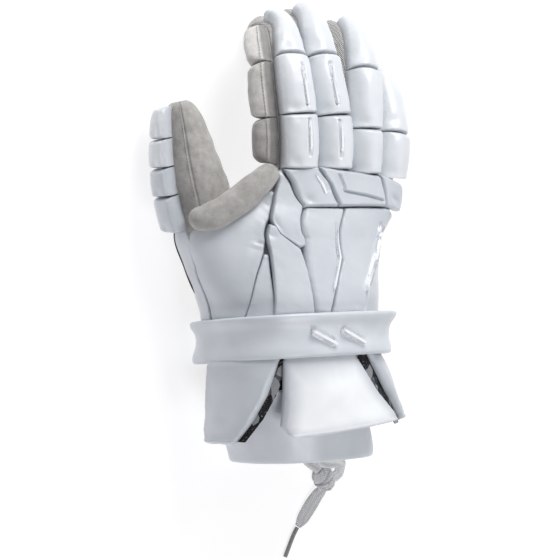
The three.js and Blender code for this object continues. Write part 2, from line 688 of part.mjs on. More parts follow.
// Silver trims set into the pads: a narrow wedge that stands a little proud of its pad
const TRIM = {
  across: [-1, 0, 1], lengthwise: [-1, -0.4, 0.4, 1], edge: 0.8, crest: 1.07, depth: -0.66, crown: 8,
};
const TRIM_GROOVE = { ...TRIM, edge: 1.3, crest: 1.3, depth: -0.6, seam: SEAM_HALF_GAP - GAP };
const indexRoll = onFinger("index", ROLL_OVERHANG, ROLL_HEIGHT);
const middleRoll = onFinger("middle", ROLL_OVERHANG, ROLL_HEIGHT);
const TRIMS = {
  trim_index_1: [indexRoll, "index_roll_1", [[0.75, 86, 0.75, 78], [1.8, 86, 1.8, 78]]],
  trim_index_2: [indexRoll, "index_roll_2", [[2.2, 86, 2.2, 78], [3.1, 86, 3.1, 78]]],
  trim_middle_1: [middleRoll, "middle_roll_1", [[0.75, 106, 0.75, 98], [1.8, 106, 1.8, 98]]],
  trim_middle_2: [middleRoll, "middle_roll_2", [[2.2, 106, 2.2, 98], [3.0, 106, 3.0, 98]]],
  trim_knuckle: [onBody(handPoint, KNUCKLE_HEIGHT), "knuckle_pad_left",
    placed([[1, 124, 1.0085, 120.5], [0.8644, 108.4, 0.8729, 105.4]])],
  trim_back_centre: [onBody(handPoint, BACK_HEIGHT), "back_pad_centre",
    placed([[0.661, 90.6, 0.661, 88.2], [0.4746, 87, 0.4746, 84.8],
      [0.2542, 94, 0.2542, 91.8]])],
  trim_back_right: [onBody(handPoint, BACK_HEIGHT), "back_pad_right",
    placed([[0.7119, 53.4, 0.7119, 50.8], [0.5085, 52.6, 0.5085, 50],
      [0.2542, 65, 0.2542, 62.6]])],
};
for (const [name, [lift, hostName, rows]] of Object.entries(TRIMS)) {
  const host = parts.find((part) => part.name === hostName);
  host.solid = largest(host.solid.subtract(cushion(lift, rows, TRIM_GROOVE)));
  keep(name, cushion(lift, rows, TRIM), SILVER, 0.25, 1);
}

// Slanted silver bars laid on the strap: each row's places are shares of the strap's width
const BAR_SEAT = STRAP_HEIGHT + GAP + BAR_CLEARANCE;
const strapPoint = (angle, along) => bodyPoint(STRAP, angle, along, BAR_SEAT);
const onStrap = (rows) =>
  rows.map(([left, leftAngle, right, rightAngle]) => [
    lerp(STRAP_BOTTOM, STRAP_TOP, left), leftAngle, lerp(STRAP_BOTTOM, STRAP_TOP, right), rightAngle,
  ]);
const BARS = {
  strap_bar_1: [[0.7667, 112, 0.6, 112], [0.4, 94, 0.2333, 94]],
  strap_bar_2: [[0.7667, 91, 0.6, 91], [0.4, 73, 0.2333, 73]],
};
for (const [name, rows] of Object.entries(BARS)) {
  const options = { ...TRIM, edge: 0.5, crest: 1, depth: 0 };
  keep(name, cushion(onBody(strapPoint, BAR_HEIGHT), onStrap(rows), options), SILVER, 0.25, 1);
}

// The cuff flaps below the strap
const FLAP_TOP = FLAP_START / CUFF_LENGTH;
const FLAPS = {
  cuff_flap_left: [[FLAP_TOP, 186, FLAP_TOP, 126], [-0.4783, 197, -0.4348, 138],
    [-0.6957, 203, -0.6304, 150], [-0.8043, 200, -0.8152, 164]],
  cuff_flap_centre: [[FLAP_TOP, 125, FLAP_TOP, 72], [-0.4783, 129, -0.4348, 62],
    [-0.6739, 131, -0.6522, 52], [-0.7717, 127, -0.7283, 54]],
  cuff_flap_right: [[FLAP_TOP, 60, FLAP_TOP, -10], [-0.4783, 48, -0.4348, -10],
    [-0.6522, 37, -0.6304, -12], [-0.7609, 31, -0.75, -8]],
};
for (const [name, rows] of Object.entries(FLAPS)) {
  const options = { depth: -0.1, edge: 0.45, across: WIDE_CUSHION };
  const flap = cushion(onBody(cuffPoint, FLAP_HEIGHT), placed(rows), options);
  keep(name, flap, WHITE, 0.5);
}

// Patterned lining strips that show along the inner edges of the two side flaps
const LININGS = {
  lining_left: [[FLAP_TOP, 131, FLAP_TOP, 121], [-0.4783, 146, -0.4348, 132],
    [-0.6848, 158, -0.6196, 143], [-0.7826, 170, -0.7935, 157]],
  lining_right: [[FLAP_TOP, 72, FLAP_TOP, 54], [-0.4783, 63, -0.4348, 42],
    [-0.6522, 55, -0.6304, 31], [-0.7609, 47, -0.75, 26]],
};
for (const [name, rows] of Object.entries(LININGS)) {
  const options = { depth: 0.55, edge: 0.15, crest: 0.15, across: SMALL_CUSHION };
  const strip = cushion(onBody(cuffPoint, LINING_THICKNESS), placed(rows), options);
  keep(name, strip, DARK, 0.8);
}

// The flat lace: two strands out of the sleeve, a knot, the tail and its hard tip
const LACE_COLUMNS = ["x", "y", "z", "half_width", "half_thickness"];
const LACE_LOOP = [
  [44, -78, 30, 5, 1.6], [48, -92, 28.5, 5, 1.6], [56, -100.5, 24, 5, 1.6],
  [70, -105, 16, 5, 1.6], [84, -107, 8, 5, 1.6], [92, -110, 4.6, 4.6, 1.8],
  [91, -116.5, 4.2, 4.4, 2], [84, -120.6, 5, 4.2, 2],
];
const LACE_STRAND = [
  [37, -78, 20, 5, 1.6], [41, -92, 19.5, 5, 1.6], [48, -101, 17, 5, 1.6], [58, -106, 12, 5, 1.6],
  [67.6, -111.6, 8.4, 4.6, 1.8],
];
const LACE_KNOT = [
  [67.4, -112.6, 7, 5.4, 4.4], [70.4, -115.6, 7, 8, 6.2], [74.6, -120.4, 7, 9, 6.8],
  [76, -125, 6.6, 7.6, 6], [76, -127.4, 5.6, 5.6, 4.4],
];
const LACE_TAIL = [
  [75.4, -128.2, 4.4, 4.6, 1.9], [71.8, -134, 3, 5.6, 1.8], [66.8, -141.8, 2.2, 6.4, 1.6],
  [60.8, -150.8, 2, 5.8, 1.5], [56.2, -157, 2, 2.6, 1.6],
];
const LACE_AGLET = [
  [55.6, -158, 2, 1.7, 1.6], [52.4, -164, 2, 1.7, 1.6], [46, -180.5, 2, 1.6, 1.6],
];
function band(rows, count, sides = 8) {
  const table = rows.map((row, i) => [i, ...row]);
  const rings = steps(0, rows.length - 1, count).map((place) => {
    const row = smoothRow(table, place);
    const ahead = smoothRow(table, place + 0.1);
    const behind = smoothRow(table, place - 0.1);
    const forward = v(ahead[1] - behind[1], ahead[2] - behind[2], ahead[3] - behind[3]);
    const across = forward.normalize().clone().cross(v(0, 0, 1)).normalize();
    const up = across.clone().cross(forward).normalize();
    return turn(sides).map((a) =>
      v(row[1], row[2], row[3])
        .addScaledVector(across, row[4] * Math.cos(radians(a + 180 / sides)))
        .addScaledVector(up, row[5] * Math.sin(radians(a + 180 / sides))),
    );
  });
  return loft(rings);
}
const knot = band(LACE_KNOT, 6, 10);
const knotGrown = band(LACE_KNOT.map((row) => [...row.slice(0, 3), row[3] + GAP, row[4] + GAP]), 6, 10);
keep("lace_loop", largest(band(LACE_LOOP, 12).subtract(knotGrown)), LACE, 0.8);
keep("lace_strand", largest(band(LACE_STRAND, 6).subtract(knotGrown)), LACE, 0.8);
keep("lace_knot", knot, LACE, 0.8);
keep("lace_tail", largest(band(LACE_TAIL, 8).subtract(knotGrown)), LACE, 0.8);
keep("lace_aglet", band(LACE_AGLET, 2), 0x77756f, 0.4);

// Every piece as one mesh of its own
const glove = new THREE.Group();
glove.name = "lacrosse_glove";
glove.position.y = REST_SHIFT;
for (const part of parts) {
  const mesh = part.solid.getMesh();
  const geometry = new THREE.BufferGeometry();
  const positions = new Float32Array(mesh.vertProperties);
  geometry.setAttribute("position", new THREE.BufferAttribute(positions, 3));
  geometry.setIndex(new THREE.BufferAttribute(new Uint32Array(mesh.triVerts), 1));
  const material = new THREE.MeshStandardMaterial({
    color: part.color,
    roughness: part.roughness,
    metalness: part.metalness,
  });
  const node = new THREE.Mesh(geometry, material);
  node.name = part.name;
  glove.add(node);
}

export default glove;
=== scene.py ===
# %% [markdown]
# # A padded lacrosse glove, made of formulas
# The real glove is a suede palm with a row of foam pads sewn to its back. Each pad is foam under
# a tight skin of coated leather. A pad could be modelled by pulling at a box by hand, but a foam
# pad on a finger is really one surface over another, so a formula fits it: a point on the finger,
# pushed outwards by the height of the foam there.
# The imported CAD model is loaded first. Everything below is set over its solids, in its frame.

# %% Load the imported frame
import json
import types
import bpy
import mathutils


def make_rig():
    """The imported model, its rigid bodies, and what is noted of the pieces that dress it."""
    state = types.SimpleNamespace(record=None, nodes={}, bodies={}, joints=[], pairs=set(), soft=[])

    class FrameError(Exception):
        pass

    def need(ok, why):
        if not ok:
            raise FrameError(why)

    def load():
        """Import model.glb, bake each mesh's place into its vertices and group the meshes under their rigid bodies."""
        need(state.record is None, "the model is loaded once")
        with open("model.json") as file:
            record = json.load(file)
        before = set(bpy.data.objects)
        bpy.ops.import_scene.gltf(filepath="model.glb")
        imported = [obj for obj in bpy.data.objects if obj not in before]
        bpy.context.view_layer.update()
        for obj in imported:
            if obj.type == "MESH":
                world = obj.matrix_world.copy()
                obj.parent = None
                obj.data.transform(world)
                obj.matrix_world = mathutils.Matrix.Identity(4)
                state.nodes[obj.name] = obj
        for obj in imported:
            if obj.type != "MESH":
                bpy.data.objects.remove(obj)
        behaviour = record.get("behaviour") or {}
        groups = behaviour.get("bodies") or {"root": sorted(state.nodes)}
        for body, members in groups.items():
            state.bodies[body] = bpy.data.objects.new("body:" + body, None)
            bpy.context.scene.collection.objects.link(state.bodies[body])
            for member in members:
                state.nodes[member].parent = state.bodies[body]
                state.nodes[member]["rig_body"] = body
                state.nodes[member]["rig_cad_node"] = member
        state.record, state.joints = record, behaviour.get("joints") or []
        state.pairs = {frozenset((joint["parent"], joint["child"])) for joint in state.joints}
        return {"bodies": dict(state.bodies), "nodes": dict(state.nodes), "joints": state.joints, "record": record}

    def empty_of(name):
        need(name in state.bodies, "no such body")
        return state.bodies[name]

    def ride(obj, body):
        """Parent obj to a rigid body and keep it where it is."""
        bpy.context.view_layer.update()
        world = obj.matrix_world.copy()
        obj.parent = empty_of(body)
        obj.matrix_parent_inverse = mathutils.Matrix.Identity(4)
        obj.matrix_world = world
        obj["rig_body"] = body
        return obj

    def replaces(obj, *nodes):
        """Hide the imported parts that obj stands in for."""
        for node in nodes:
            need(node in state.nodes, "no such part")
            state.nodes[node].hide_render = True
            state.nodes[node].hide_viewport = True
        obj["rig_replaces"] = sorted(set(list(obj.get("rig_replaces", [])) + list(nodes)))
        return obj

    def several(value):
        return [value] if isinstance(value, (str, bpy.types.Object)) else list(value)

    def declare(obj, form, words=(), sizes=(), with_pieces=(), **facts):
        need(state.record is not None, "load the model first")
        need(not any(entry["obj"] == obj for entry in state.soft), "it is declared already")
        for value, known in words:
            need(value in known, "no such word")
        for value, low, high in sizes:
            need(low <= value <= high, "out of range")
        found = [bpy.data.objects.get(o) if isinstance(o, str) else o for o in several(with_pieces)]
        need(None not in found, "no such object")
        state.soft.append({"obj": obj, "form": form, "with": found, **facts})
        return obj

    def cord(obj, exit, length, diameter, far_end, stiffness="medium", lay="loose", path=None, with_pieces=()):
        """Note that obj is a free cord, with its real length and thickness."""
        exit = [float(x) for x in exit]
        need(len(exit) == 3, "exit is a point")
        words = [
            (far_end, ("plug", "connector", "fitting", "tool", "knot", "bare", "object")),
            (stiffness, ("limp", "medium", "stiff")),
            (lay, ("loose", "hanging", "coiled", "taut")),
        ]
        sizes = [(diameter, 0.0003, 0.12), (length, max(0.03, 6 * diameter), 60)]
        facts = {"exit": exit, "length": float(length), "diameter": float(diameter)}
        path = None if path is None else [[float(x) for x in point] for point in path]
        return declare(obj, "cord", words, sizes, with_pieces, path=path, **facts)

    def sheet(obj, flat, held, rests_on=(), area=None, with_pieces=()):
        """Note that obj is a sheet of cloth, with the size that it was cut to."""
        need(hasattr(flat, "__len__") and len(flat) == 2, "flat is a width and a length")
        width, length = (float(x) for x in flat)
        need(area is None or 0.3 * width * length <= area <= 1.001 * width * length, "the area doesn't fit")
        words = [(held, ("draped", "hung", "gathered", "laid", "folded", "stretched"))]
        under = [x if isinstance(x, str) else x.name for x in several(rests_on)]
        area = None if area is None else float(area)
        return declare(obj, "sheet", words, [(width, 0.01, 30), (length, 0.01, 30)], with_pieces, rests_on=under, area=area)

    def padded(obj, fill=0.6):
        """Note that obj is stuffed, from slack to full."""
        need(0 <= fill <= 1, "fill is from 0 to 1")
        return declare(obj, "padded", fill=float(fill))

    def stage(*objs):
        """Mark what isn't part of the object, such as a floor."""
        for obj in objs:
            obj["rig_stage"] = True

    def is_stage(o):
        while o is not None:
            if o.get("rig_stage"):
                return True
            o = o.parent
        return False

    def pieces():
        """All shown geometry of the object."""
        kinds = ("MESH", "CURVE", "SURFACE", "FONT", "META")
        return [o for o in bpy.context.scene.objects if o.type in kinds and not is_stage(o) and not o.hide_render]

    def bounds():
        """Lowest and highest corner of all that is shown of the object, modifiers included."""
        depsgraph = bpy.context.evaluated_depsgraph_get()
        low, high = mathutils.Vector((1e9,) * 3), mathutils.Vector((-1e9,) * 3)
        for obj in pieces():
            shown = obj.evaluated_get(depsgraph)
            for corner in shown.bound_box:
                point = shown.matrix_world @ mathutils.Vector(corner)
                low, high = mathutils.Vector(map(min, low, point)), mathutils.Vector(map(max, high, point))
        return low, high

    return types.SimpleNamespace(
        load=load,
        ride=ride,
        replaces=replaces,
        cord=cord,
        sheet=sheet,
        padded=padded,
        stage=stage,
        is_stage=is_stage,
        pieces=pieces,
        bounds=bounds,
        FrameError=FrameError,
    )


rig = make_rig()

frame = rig.load()

import json
import math

import bpy
import numpy as np
from mathutils import Matrix

CAD_BOX = [[float(value) for value in corner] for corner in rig.bounds()]
MM = 0.001
# The tables' zero lies this many millimetres along from the frame's origin.
REST_SHIFT = 12.0
BODY = "root"
print("CAD box in metres:", CAD_BOX)

# %% [markdown]
# ## Camera, floor and light
# The glove was photographed from above, with the camera leaned over to the thumb side and a
# little towards the fingertips. A long lens keeps the fingers and the cuff at one scale. A pale
# floor carries the glove. White leather shows its form only by soft light with darker gaps in
# it, so large soft panels stand round it in a dim room. The room is brighter where it is
# mirrored, as white cards round a studio table are, so that the silver trims have something to
# show.

# %% Camera at the photograph's angle
SIDE_LEAN = math.radians(38.0)
TIP_LEAN = math.radians(7.3)
CAMERA_DISTANCE = 1.5
FRAME_WIDTH = 0.4032
SENSOR_WIDTH = 36.0
VIEW_CENTRE = np.array([-0.018, 0.052, 0.050])

to_camera = np.array([
    -math.sin(SIDE_LEAN),
    math.cos(SIDE_LEAN) * math.sin(TIP_LEAN),
    math.cos(SIDE_LEAN) * math.cos(TIP_LEAN),
])
view_up = np.array([0.0, math.cos(TIP_LEAN), -math.sin(TIP_LEAN)])
view_right = np.cross(view_up, to_camera)


def aimed(name, data, place, right, up, back):
    """An object at place whose own x, y and z axes are right, up and back."""
    thing = bpy.data.objects.new(name, data)
    bpy.context.scene.collection.objects.link(thing)
    rows = np.eye(4)
    rows[:3, :3] = np.column_stack([right, up, back])
    rows[:3, 3] = place
    thing.matrix_world = Matrix(rows.tolist())
    return thing


camera_data = bpy.data.cameras.new("camera")
camera_data.sensor_width = SENSOR_WIDTH
camera_data.lens = SENSOR_WIDTH * CAMERA_DISTANCE / FRAME_WIDTH
camera = aimed("camera", camera_data, VIEW_CENTRE + CAMERA_DISTANCE * to_camera,
               view_right, view_up, to_camera)
bpy.context.scene.camera = camera
bpy.context.scene.view_settings.view_transform = "Standard"
print("lens in mm:", round(camera_data.lens, 1))


# %% Soft panels of light and a dim room
def soft_panel(name, place, size, power):
    """A square area light at place that faces the glove."""
    data = bpy.data.lights.new(name, "AREA")
    data.size = size
    data.energy = power
    back = np.array(place) - VIEW_CENTRE
    back /= np.linalg.norm(back)
    right = np.cross([0.0, 1.0, 0.2], back)
    right /= np.linalg.norm(right)
    return aimed(name, data, place, right, np.cross(back, right), back)


soft_panel("finger_end_panel", (0.05, 1.3, 0.85), 0.75, 18.0)
soft_panel("wrist_end_panel", (0.0, -0.85, 1.05), 0.7, 8.5)
soft_panel("side_strip", (-0.8, 0.9, 0.6), 0.25, 0.8)
soft_panel("far_side_panel", (0.95, 0.25, 1.15), 1.5, 4.0)

ROOM_STRENGTH, MIRRORED_STRENGTH = 0.14, 0.55
room = bpy.data.worlds.new("dim_room")
room.use_nodes = True
room.node_tree.nodes["Background"].inputs["Color"].default_value = (0.93, 0.95, 1.0, 1.0)
strength = room.node_tree.nodes.new("ShaderNodeMapRange")
strength.inputs["To Min"].default_value = ROOM_STRENGTH
strength.inputs["To Max"].default_value = MIRRORED_STRENGTH
ray = room.node_tree.nodes.new("ShaderNodeLightPath")
room.node_tree.links.new(ray.outputs["Is Glossy Ray"], strength.inputs["Value"])
room.node_tree.links.new(strength.outputs["Result"],
                         room.node_tree.nodes["Background"].inputs["Strength"])
bpy.context.scene.world = room
print("lights:", len(bpy.data.lights))


# %% [markdown]
# ## Colours and materials
# Colours are read as the screen shows them, as sRGB hex values, and one function turns them to
# the linear numbers that the shader takes. One small function adds a node with its settings and
# links, and gives one of its outputs, so that a material reads as a list of what is laid on
# what. A pattern's scale is worked out from the real size of its lumps in millimetres.

# %% One function for colours, one for scales and one for nodes
def linear(hex_value, alpha=1.0):
    """sRGB hex to linear: the toe is divided by 12.92 and the rest is a power of 2.4."""
    channels = [int(hex_value[i:i + 2], 16) / 255 for i in (1, 3, 5)]
    toe = [c / 12.92 if c <= 0.04045 else ((c + 0.055) / 1.055) ** 2.4 for c in channels]
    return (*toe, alpha)


def scale_for(size_mm):
    """The scale of a pattern whose lumps are this size: one over the size in metres."""
    return 1.0 / (size_mm * MM)


PLACE, CARRIED, NOISE = "ShaderNodeTexCoord", "ShaderNodeAttribute", "ShaderNodeTexNoise"
CELLS, RAMP, RANGE = "ShaderNodeTexVoronoi", "ShaderNodeValToRGB", "ShaderNodeMapRange"
MATH, MIX, BUMP = "ShaderNodeMath", "ShaderNodeMix", "ShaderNodeBump"
MIX_FACTOR, MIX_FIRST, MIX_SECOND, MIX_RESULT = 0, 6, 7, 2


def add(tree, kind, out, inputs=None, stops=(), **settings):
    """Add a node with its settings, and give the output that out names. Each input is linked
    if its value is an output, and is set if it is a number, a vector or a hex colour. Stops are
    a ramp's pairs of position and hex colour."""
    node = tree.nodes.new(kind)
    for key, value in settings.items():
        setattr(node, key, value)
    for key, value in (inputs or {}).items():
        if isinstance(value, bpy.types.NodeSocket):
            tree.links.new(value, node.inputs[key])
        else:
            node.inputs[key].default_value = linear(value) if isinstance(value, str) else value
    for _ in stops[2:]:
        node.color_ramp.elements.new(0.5)
    for number, (position, colour) in enumerate(stops):
        node.color_ramp.elements[number].position = position
        node.color_ramp.elements[number].color = linear(colour)
    return node.outputs[out]


def start_material(name, values):
    """A material with its Principled shader set from values; gives the material, tree, shader."""
    material = bpy.data.materials.new(name)
    material.use_nodes = True
    tree = material.node_tree
    shader = tree.nodes["Principled BSDF"]
    for key, value in values.items():
        shader.inputs[key].default_value = value
    return material, tree, shader


# %% [markdown]
# ### White coated leather
# The pads are covered with polyurethane leather: a knit with a smooth, faintly grained plastic
# skin, IOR about 1.5, satin. The eye sees clear soft highlights, a cool white, and greyer seams.
# The grain is about 0.9 mm across. Two more scales of relief are laid over it: the foam's
# unevenness at 11 mm, and short pulls that run in from the seams. The one white leather comes in
# paler and darker copies for parts that get more or less light, which is painted light and
# painted shade, and the flaps grey towards their edges as painted shade.

# %% White coated leather
def coated_leather(name, light, shade, roughness, pull, rim=0.0):
    """Satin coated leather; light and shade are its two hex tones, pull is the relief in mm,
    and rim is how far the tone greys towards the edges of a broad flap, as painted shade."""
    material, tree, shader = start_material(name, {
        "Roughness": roughness, "IOR": 1.5, "Coat Weight": 0.3, "Coat Roughness": 0.28,
        "Sheen Weight": 0.05})
    place = add(tree, PLACE, "Object")
    edge = add(tree, CARRIED, "Fac", attribute_name="seam_mm")
    cloud = add(tree, NOISE, "Fac", {"Vector": place, "Scale": scale_for(22.0), "Detail": 4.0})
    tone = add(tree, RAMP, "Color", {"Fac": cloud}, [(0.3, shade), (0.7, light)])
    # Painted shade: the tone greys over a flap's outer 17 mm, where less light reaches it.
    if rim:
        broad = add(tree, RANGE, "Result", {
            "Value": edge, "From Min": 1.0, "From Max": 17.0, "To Min": rim, "To Max": 0.0},
            interpolation_type="SMOOTHSTEP")
        tone = add(tree, MIX, MIX_RESULT, {
            MIX_FACTOR: broad, MIX_FIRST: tone, MIX_SECOND: "#A9AFB9"}, data_type="RGBA")
    seam_grey = add(tree, RANGE, "Result", {
        "Value": edge, "From Min": 0.0, "From Max": 1.8, "To Min": 0.4, "To Max": 0.0},
        interpolation_type="SMOOTHSTEP")
    tone = add(tree, MIX, MIX_RESULT, {
        MIX_FACTOR: seam_grey, MIX_FIRST: tone, MIX_SECOND: "#8E939B"}, data_type="RGBA")
    tree.links.new(tone, shader.inputs["Base Color"])
    grain = add(tree, CELLS, "Distance", {"Vector": place, "Scale": scale_for(0.9)},
                feature="DISTANCE_TO_EDGE")
    fine = add(tree, BUMP, "Normal", {"Height": grain, "Distance": 0.05 * MM})
    foam = add(tree, NOISE, "Fac", {
        "Vector": place, "Scale": scale_for(11.0), "Detail": 1.0, "Roughness": 0.4})
    uneven = add(tree, BUMP, "Normal", {"Height": foam, "Distance": 0.25 * MM, "Normal": fine})
    near = add(tree, RANGE, "Result", {
        "Value": edge, "From Min": 0.4, "From Max": 7.0, "To Min": 1.0, "To Max": 0.0},
        interpolation_type="SMOOTHSTEP")
    creases = add(tree, NOISE, "Fac", {
        "Vector": place, "Scale": scale_for(3.4), "Detail": 2.0, "Distortion": 0.6})
    folds = add(tree, MATH, "Value", {0: creases, 1: near}, operation="MULTIPLY")
    pulled = add(tree, BUMP, "Normal", {"Height": folds, "Distance": pull * MM, "Normal": uneven})
    tree.links.new(pulled, shader.inputs["Normal"])
    handled = add(tree, NOISE, "Fac", {"Vector": place, "Scale": scale_for(5.0), "Detail": 3.0})
    rough = add(tree, RANGE, "Result", {
        "Value": handled, "From Min": 0.3, "From Max": 0.7, "To Min": roughness - 0.05,
        "To Max": roughness + 0.07}, interpolation_type="SMOOTHSTEP")
    tree.links.new(rough, shader.inputs["Roughness"])
    return material


LEATHER = coated_leather("coated_leather_over_foam", "#E3E6EA", "#D9DDE2", 0.34, 0.5)
# A darker copy of the same white leather: painted shade, for the back pads, the back and the lower thumb rolls.
PAINTED_SHADE_LEATHER = coated_leather("coated_leather_of_the_back", "#D0D4DA", "#C7CCD3", 0.34, 0.5)
SOFT_LEATHER = coated_leather("soft_coated_leather", "#D6DAE0", "#CDD2D9", 0.42, 0.4)
# Flap leathers: the side flaps take a darker copy as painted shade, the centre flap a paler copy as painted light, and
# both grey to their edges as painted shade.
SIDE_FLAP_PAINTED_SHADE = coated_leather("leather_of_the_side_flaps", "#D3D7DD", "#CBCFD6", 0.42, 0.4,
                                   rim=0.3)
CENTRE_FLAP_PAINTED_LIGHT_AND_SHADE = coated_leather("leather_of_the_centre_flap", "#F8FAFC", "#F1F3F6", 0.42, 0.4,
                                     rim=0.65)
print("leathers:", LEATHER.name, PAINTED_SHADE_LEATHER.name, SOFT_LEATHER.name)


# %% [markdown]
# ### Suede
# The palm is synthetic suede: matt, with a nap that is brushed lighter and darker in patches of
# about 7 mm. Real fibres are far finer than the eye sees here, so they are drawn 0.7 mm across.
# A dark sunken line is drawn where a piece's own number says that a seam runs.

# %% Suede
def suede(name, light, dark):
    """Napped cloth: brushed patches 7 mm across over fibres of 0.7 mm."""
    material, tree, shader = start_material(name, {
        "Roughness": 0.95, "IOR": 1.45, "Specular IOR Level": 0.25, "Sheen Weight": 0.35,
        "Sheen Roughness": 0.6})
    place = add(tree, PLACE, "Object")
    patches = add(tree, NOISE, "Fac", {
        "Vector": place, "Scale": scale_for(7.0), "Detail": 4.0, "Roughness": 0.6})
    fibres = add(tree, NOISE, "Fac", {
        "Vector": place, "Scale": scale_for(0.7), "Detail": 4.0, "Roughness": 0.7})
    brushed = add(tree, MATH, "Value", {0: patches, 1: 0.6}, operation="MULTIPLY")
    napped = add(tree, MATH, "Value", {0: fibres, 1: 0.4}, operation="MULTIPLY")
    both = add(tree, MATH, "Value", {0: brushed, 1: napped}, operation="ADD")
    tone = add(tree, RAMP, "Color", {"Fac": both}, [(0.36, dark), (0.64, light)])
    edge = add(tree, CARRIED, "Fac", attribute_name="seam_mm")
    thread = add(tree, RANGE, "Result", {
        "Value": edge, "From Min": 0.1, "From Max": 0.9, "To Min": 0.6, "To Max": 0.0},
        interpolation_type="SMOOTHSTEP")
    tone = add(tree, MIX, MIX_RESULT, {
        MIX_FACTOR: thread, MIX_FIRST: tone, MIX_SECOND: "#4C4A48"}, data_type="RGBA")
    tree.links.new(tone, shader.inputs["Base Color"])
    fine = add(tree, BUMP, "Normal", {"Height": fibres, "Distance": 0.35 * MM})
    hollows = add(tree, NOISE, "Fac", {"Vector": place, "Scale": scale_for(6.0), "Detail": 3.0})
    soft = add(tree, BUMP, "Normal", {"Height": hollows, "Distance": 0.6 * MM, "Normal": fine})
    bank = add(tree, RANGE, "Result", {
        "Value": edge, "From Min": 0.0, "From Max": 1.4, "To Min": 0.0, "To Max": 1.0},
        interpolation_type="SMOOTHSTEP")
    groove = add(tree, BUMP, "Normal", {"Height": bank, "Distance": 0.4 * MM, "Normal": soft})
    tree.links.new(groove, shader.inputs["Normal"])
    return material


SUEDE = suede("brushed_suede", "#D0CDCA", "#AEABA8")
# Darker and paler copies of one suede: painted shade for the thumb, the web roll and the first index pad, painted
# light for the index tip pad.
PAINTED_SHADE_SUEDE = suede("shaded_suede", "#B7B4B1", "#979491")
PAINTED_LIGHT_TIP_SUEDE = suede("pale_suede_of_the_tip", "#E6E3E0", "#CBC8C5")
print("suedes:", SUEDE.name, PAINTED_SHADE_SUEDE.name, PAINTED_LIGHT_TIP_SUEDE.name)


# %% [markdown]
# ### Open knit between the fingers
# The sides of the fingers are an open polyester knit, matt and pale with dark holes. Its ribs
# are about 2.3 mm apart, and smaller loops beat along each rib. Both follow the cloth, so they
# are drawn from how far a point is along and around its own tube.

# %% Open knit
RIB_MM = 2.3
LOOP_MM = 2.1


def open_knit():
    """Ribs across the finger, each a sine of the way along, plus a smaller sine of the way
    around for the loops."""
    material, tree, shader = start_material("ribbed_open_knit", {
        "Roughness": 0.85, "IOR": 1.45, "Specular IOR Level": 0.3, "Sheen Weight": 0.2})
    around = add(tree, CARRIED, "Fac", attribute_name="around_mm")
    along = add(tree, CARRIED, "Fac", attribute_name="along_mm")
    turn = add(tree, MATH, "Value", {0: along, 1: 2 * math.pi / RIB_MM}, operation="MULTIPLY")
    rib = add(tree, MATH, "Value", {0: turn}, operation="SINE")
    turn = add(tree, MATH, "Value", {0: around, 1: 2 * math.pi / LOOP_MM}, operation="MULTIPLY")
    beat = add(tree, MATH, "Value", {0: turn}, operation="SINE")
    ribs = add(tree, MATH, "Value", {0: rib, 1: 0.32}, operation="MULTIPLY")
    loops = add(tree, MATH, "Value", {0: beat, 1: 0.14}, operation="MULTIPLY")
    cloth = add(tree, MATH, "Value", {0: ribs, 1: loops}, operation="ADD")
    height = add(tree, MATH, "Value", {0: cloth, 1: 0.5}, operation="ADD")
    tone = add(tree, RAMP, "Color", {"Fac": height}, [(0.2, "#77777B"), (0.7, "#EAE8E3")])
    tree.links.new(tone, shader.inputs["Base Color"])
    relief = add(tree, BUMP, "Normal", {"Height": height, "Distance": 0.7 * MM})
    tree.links.new(relief, shader.inputs["Normal"])
    return material


KNIT = open_knit()
print("knit:", KNIT.name)


# %% [markdown]
# ### Bright film, clear film and thread
# The trims are plastic under a bright metal film: a mirror that handling has dulled in places.
# The lace's tip is a tube of clear film over the cord, so the grey of the cord shows through.
# The sewing thread is bonded nylon, matt and grey.

# %% Bright film, clear film and thread
def bright_film():
    """Metal film: a mirror, a little duller in worn patches 6 mm across."""
    material, tree, shader = start_material("bright_metal_film", {
        "Base Color": linear("#F0F1F3"), "Metallic": 1.0, "Roughness": 0.24})
    place = add(tree, PLACE, "Object")
    worn = add(tree, NOISE, "Fac", {"Vector": place, "Scale": scale_for(6.0), "Detail": 2.0})
    rough = add(tree, RANGE, "Result", {
        "Value": worn, "From Min": 0.35, "From Max": 0.75, "To Min": 0.2, "To Max": 0.34},
        interpolation_type="SMOOTHSTEP")
    tree.links.new(rough, shader.inputs["Roughness"])
    return material


def dull_plastic(name, shade, light, roughness):
    """A matt moulded or filmed surface in two tones, with a fine unevenness of 1.5 mm."""
    material, tree, shader = start_material(name, {"Roughness": roughness, "IOR": 1.46})
    place = add(tree, PLACE, "Object")
    cloud = add(tree, NOISE, "Fac", {"Vector": place, "Scale": scale_for(1.5), "Detail": 3.0})
    tone = add(tree, RAMP, "Color", {"Fac": cloud}, [(0.3, shade), (0.7, light)])
    tree.links.new(tone, shader.inputs["Base Color"])
    relief = add(tree, BUMP, "Normal", {"Height": cloud, "Distance": 0.12 * MM})
    tree.links.new(relief, shader.inputs["Normal"])
    return material


FILM = bright_film()
AGLET = dull_plastic("tube_of_clear_film_on_cord", "#85837F", "#9E9C97", 0.35)
THREAD = dull_plastic("bonded_thread", "#8A8885", "#A5A3A0", 0.7)
print("film and thread:", FILM.name, AGLET.name, THREAD.name)


# %% [markdown]
# ### Printed lining and brushed liner
# The flaps are lined with a knit printed in dark angular patches of a few millimetres, an
# ordinary camouflage. Cells of random greys, stretched one way and cut to four tones, give such
# patches. The liner at the wrist is a dark brushed knit.

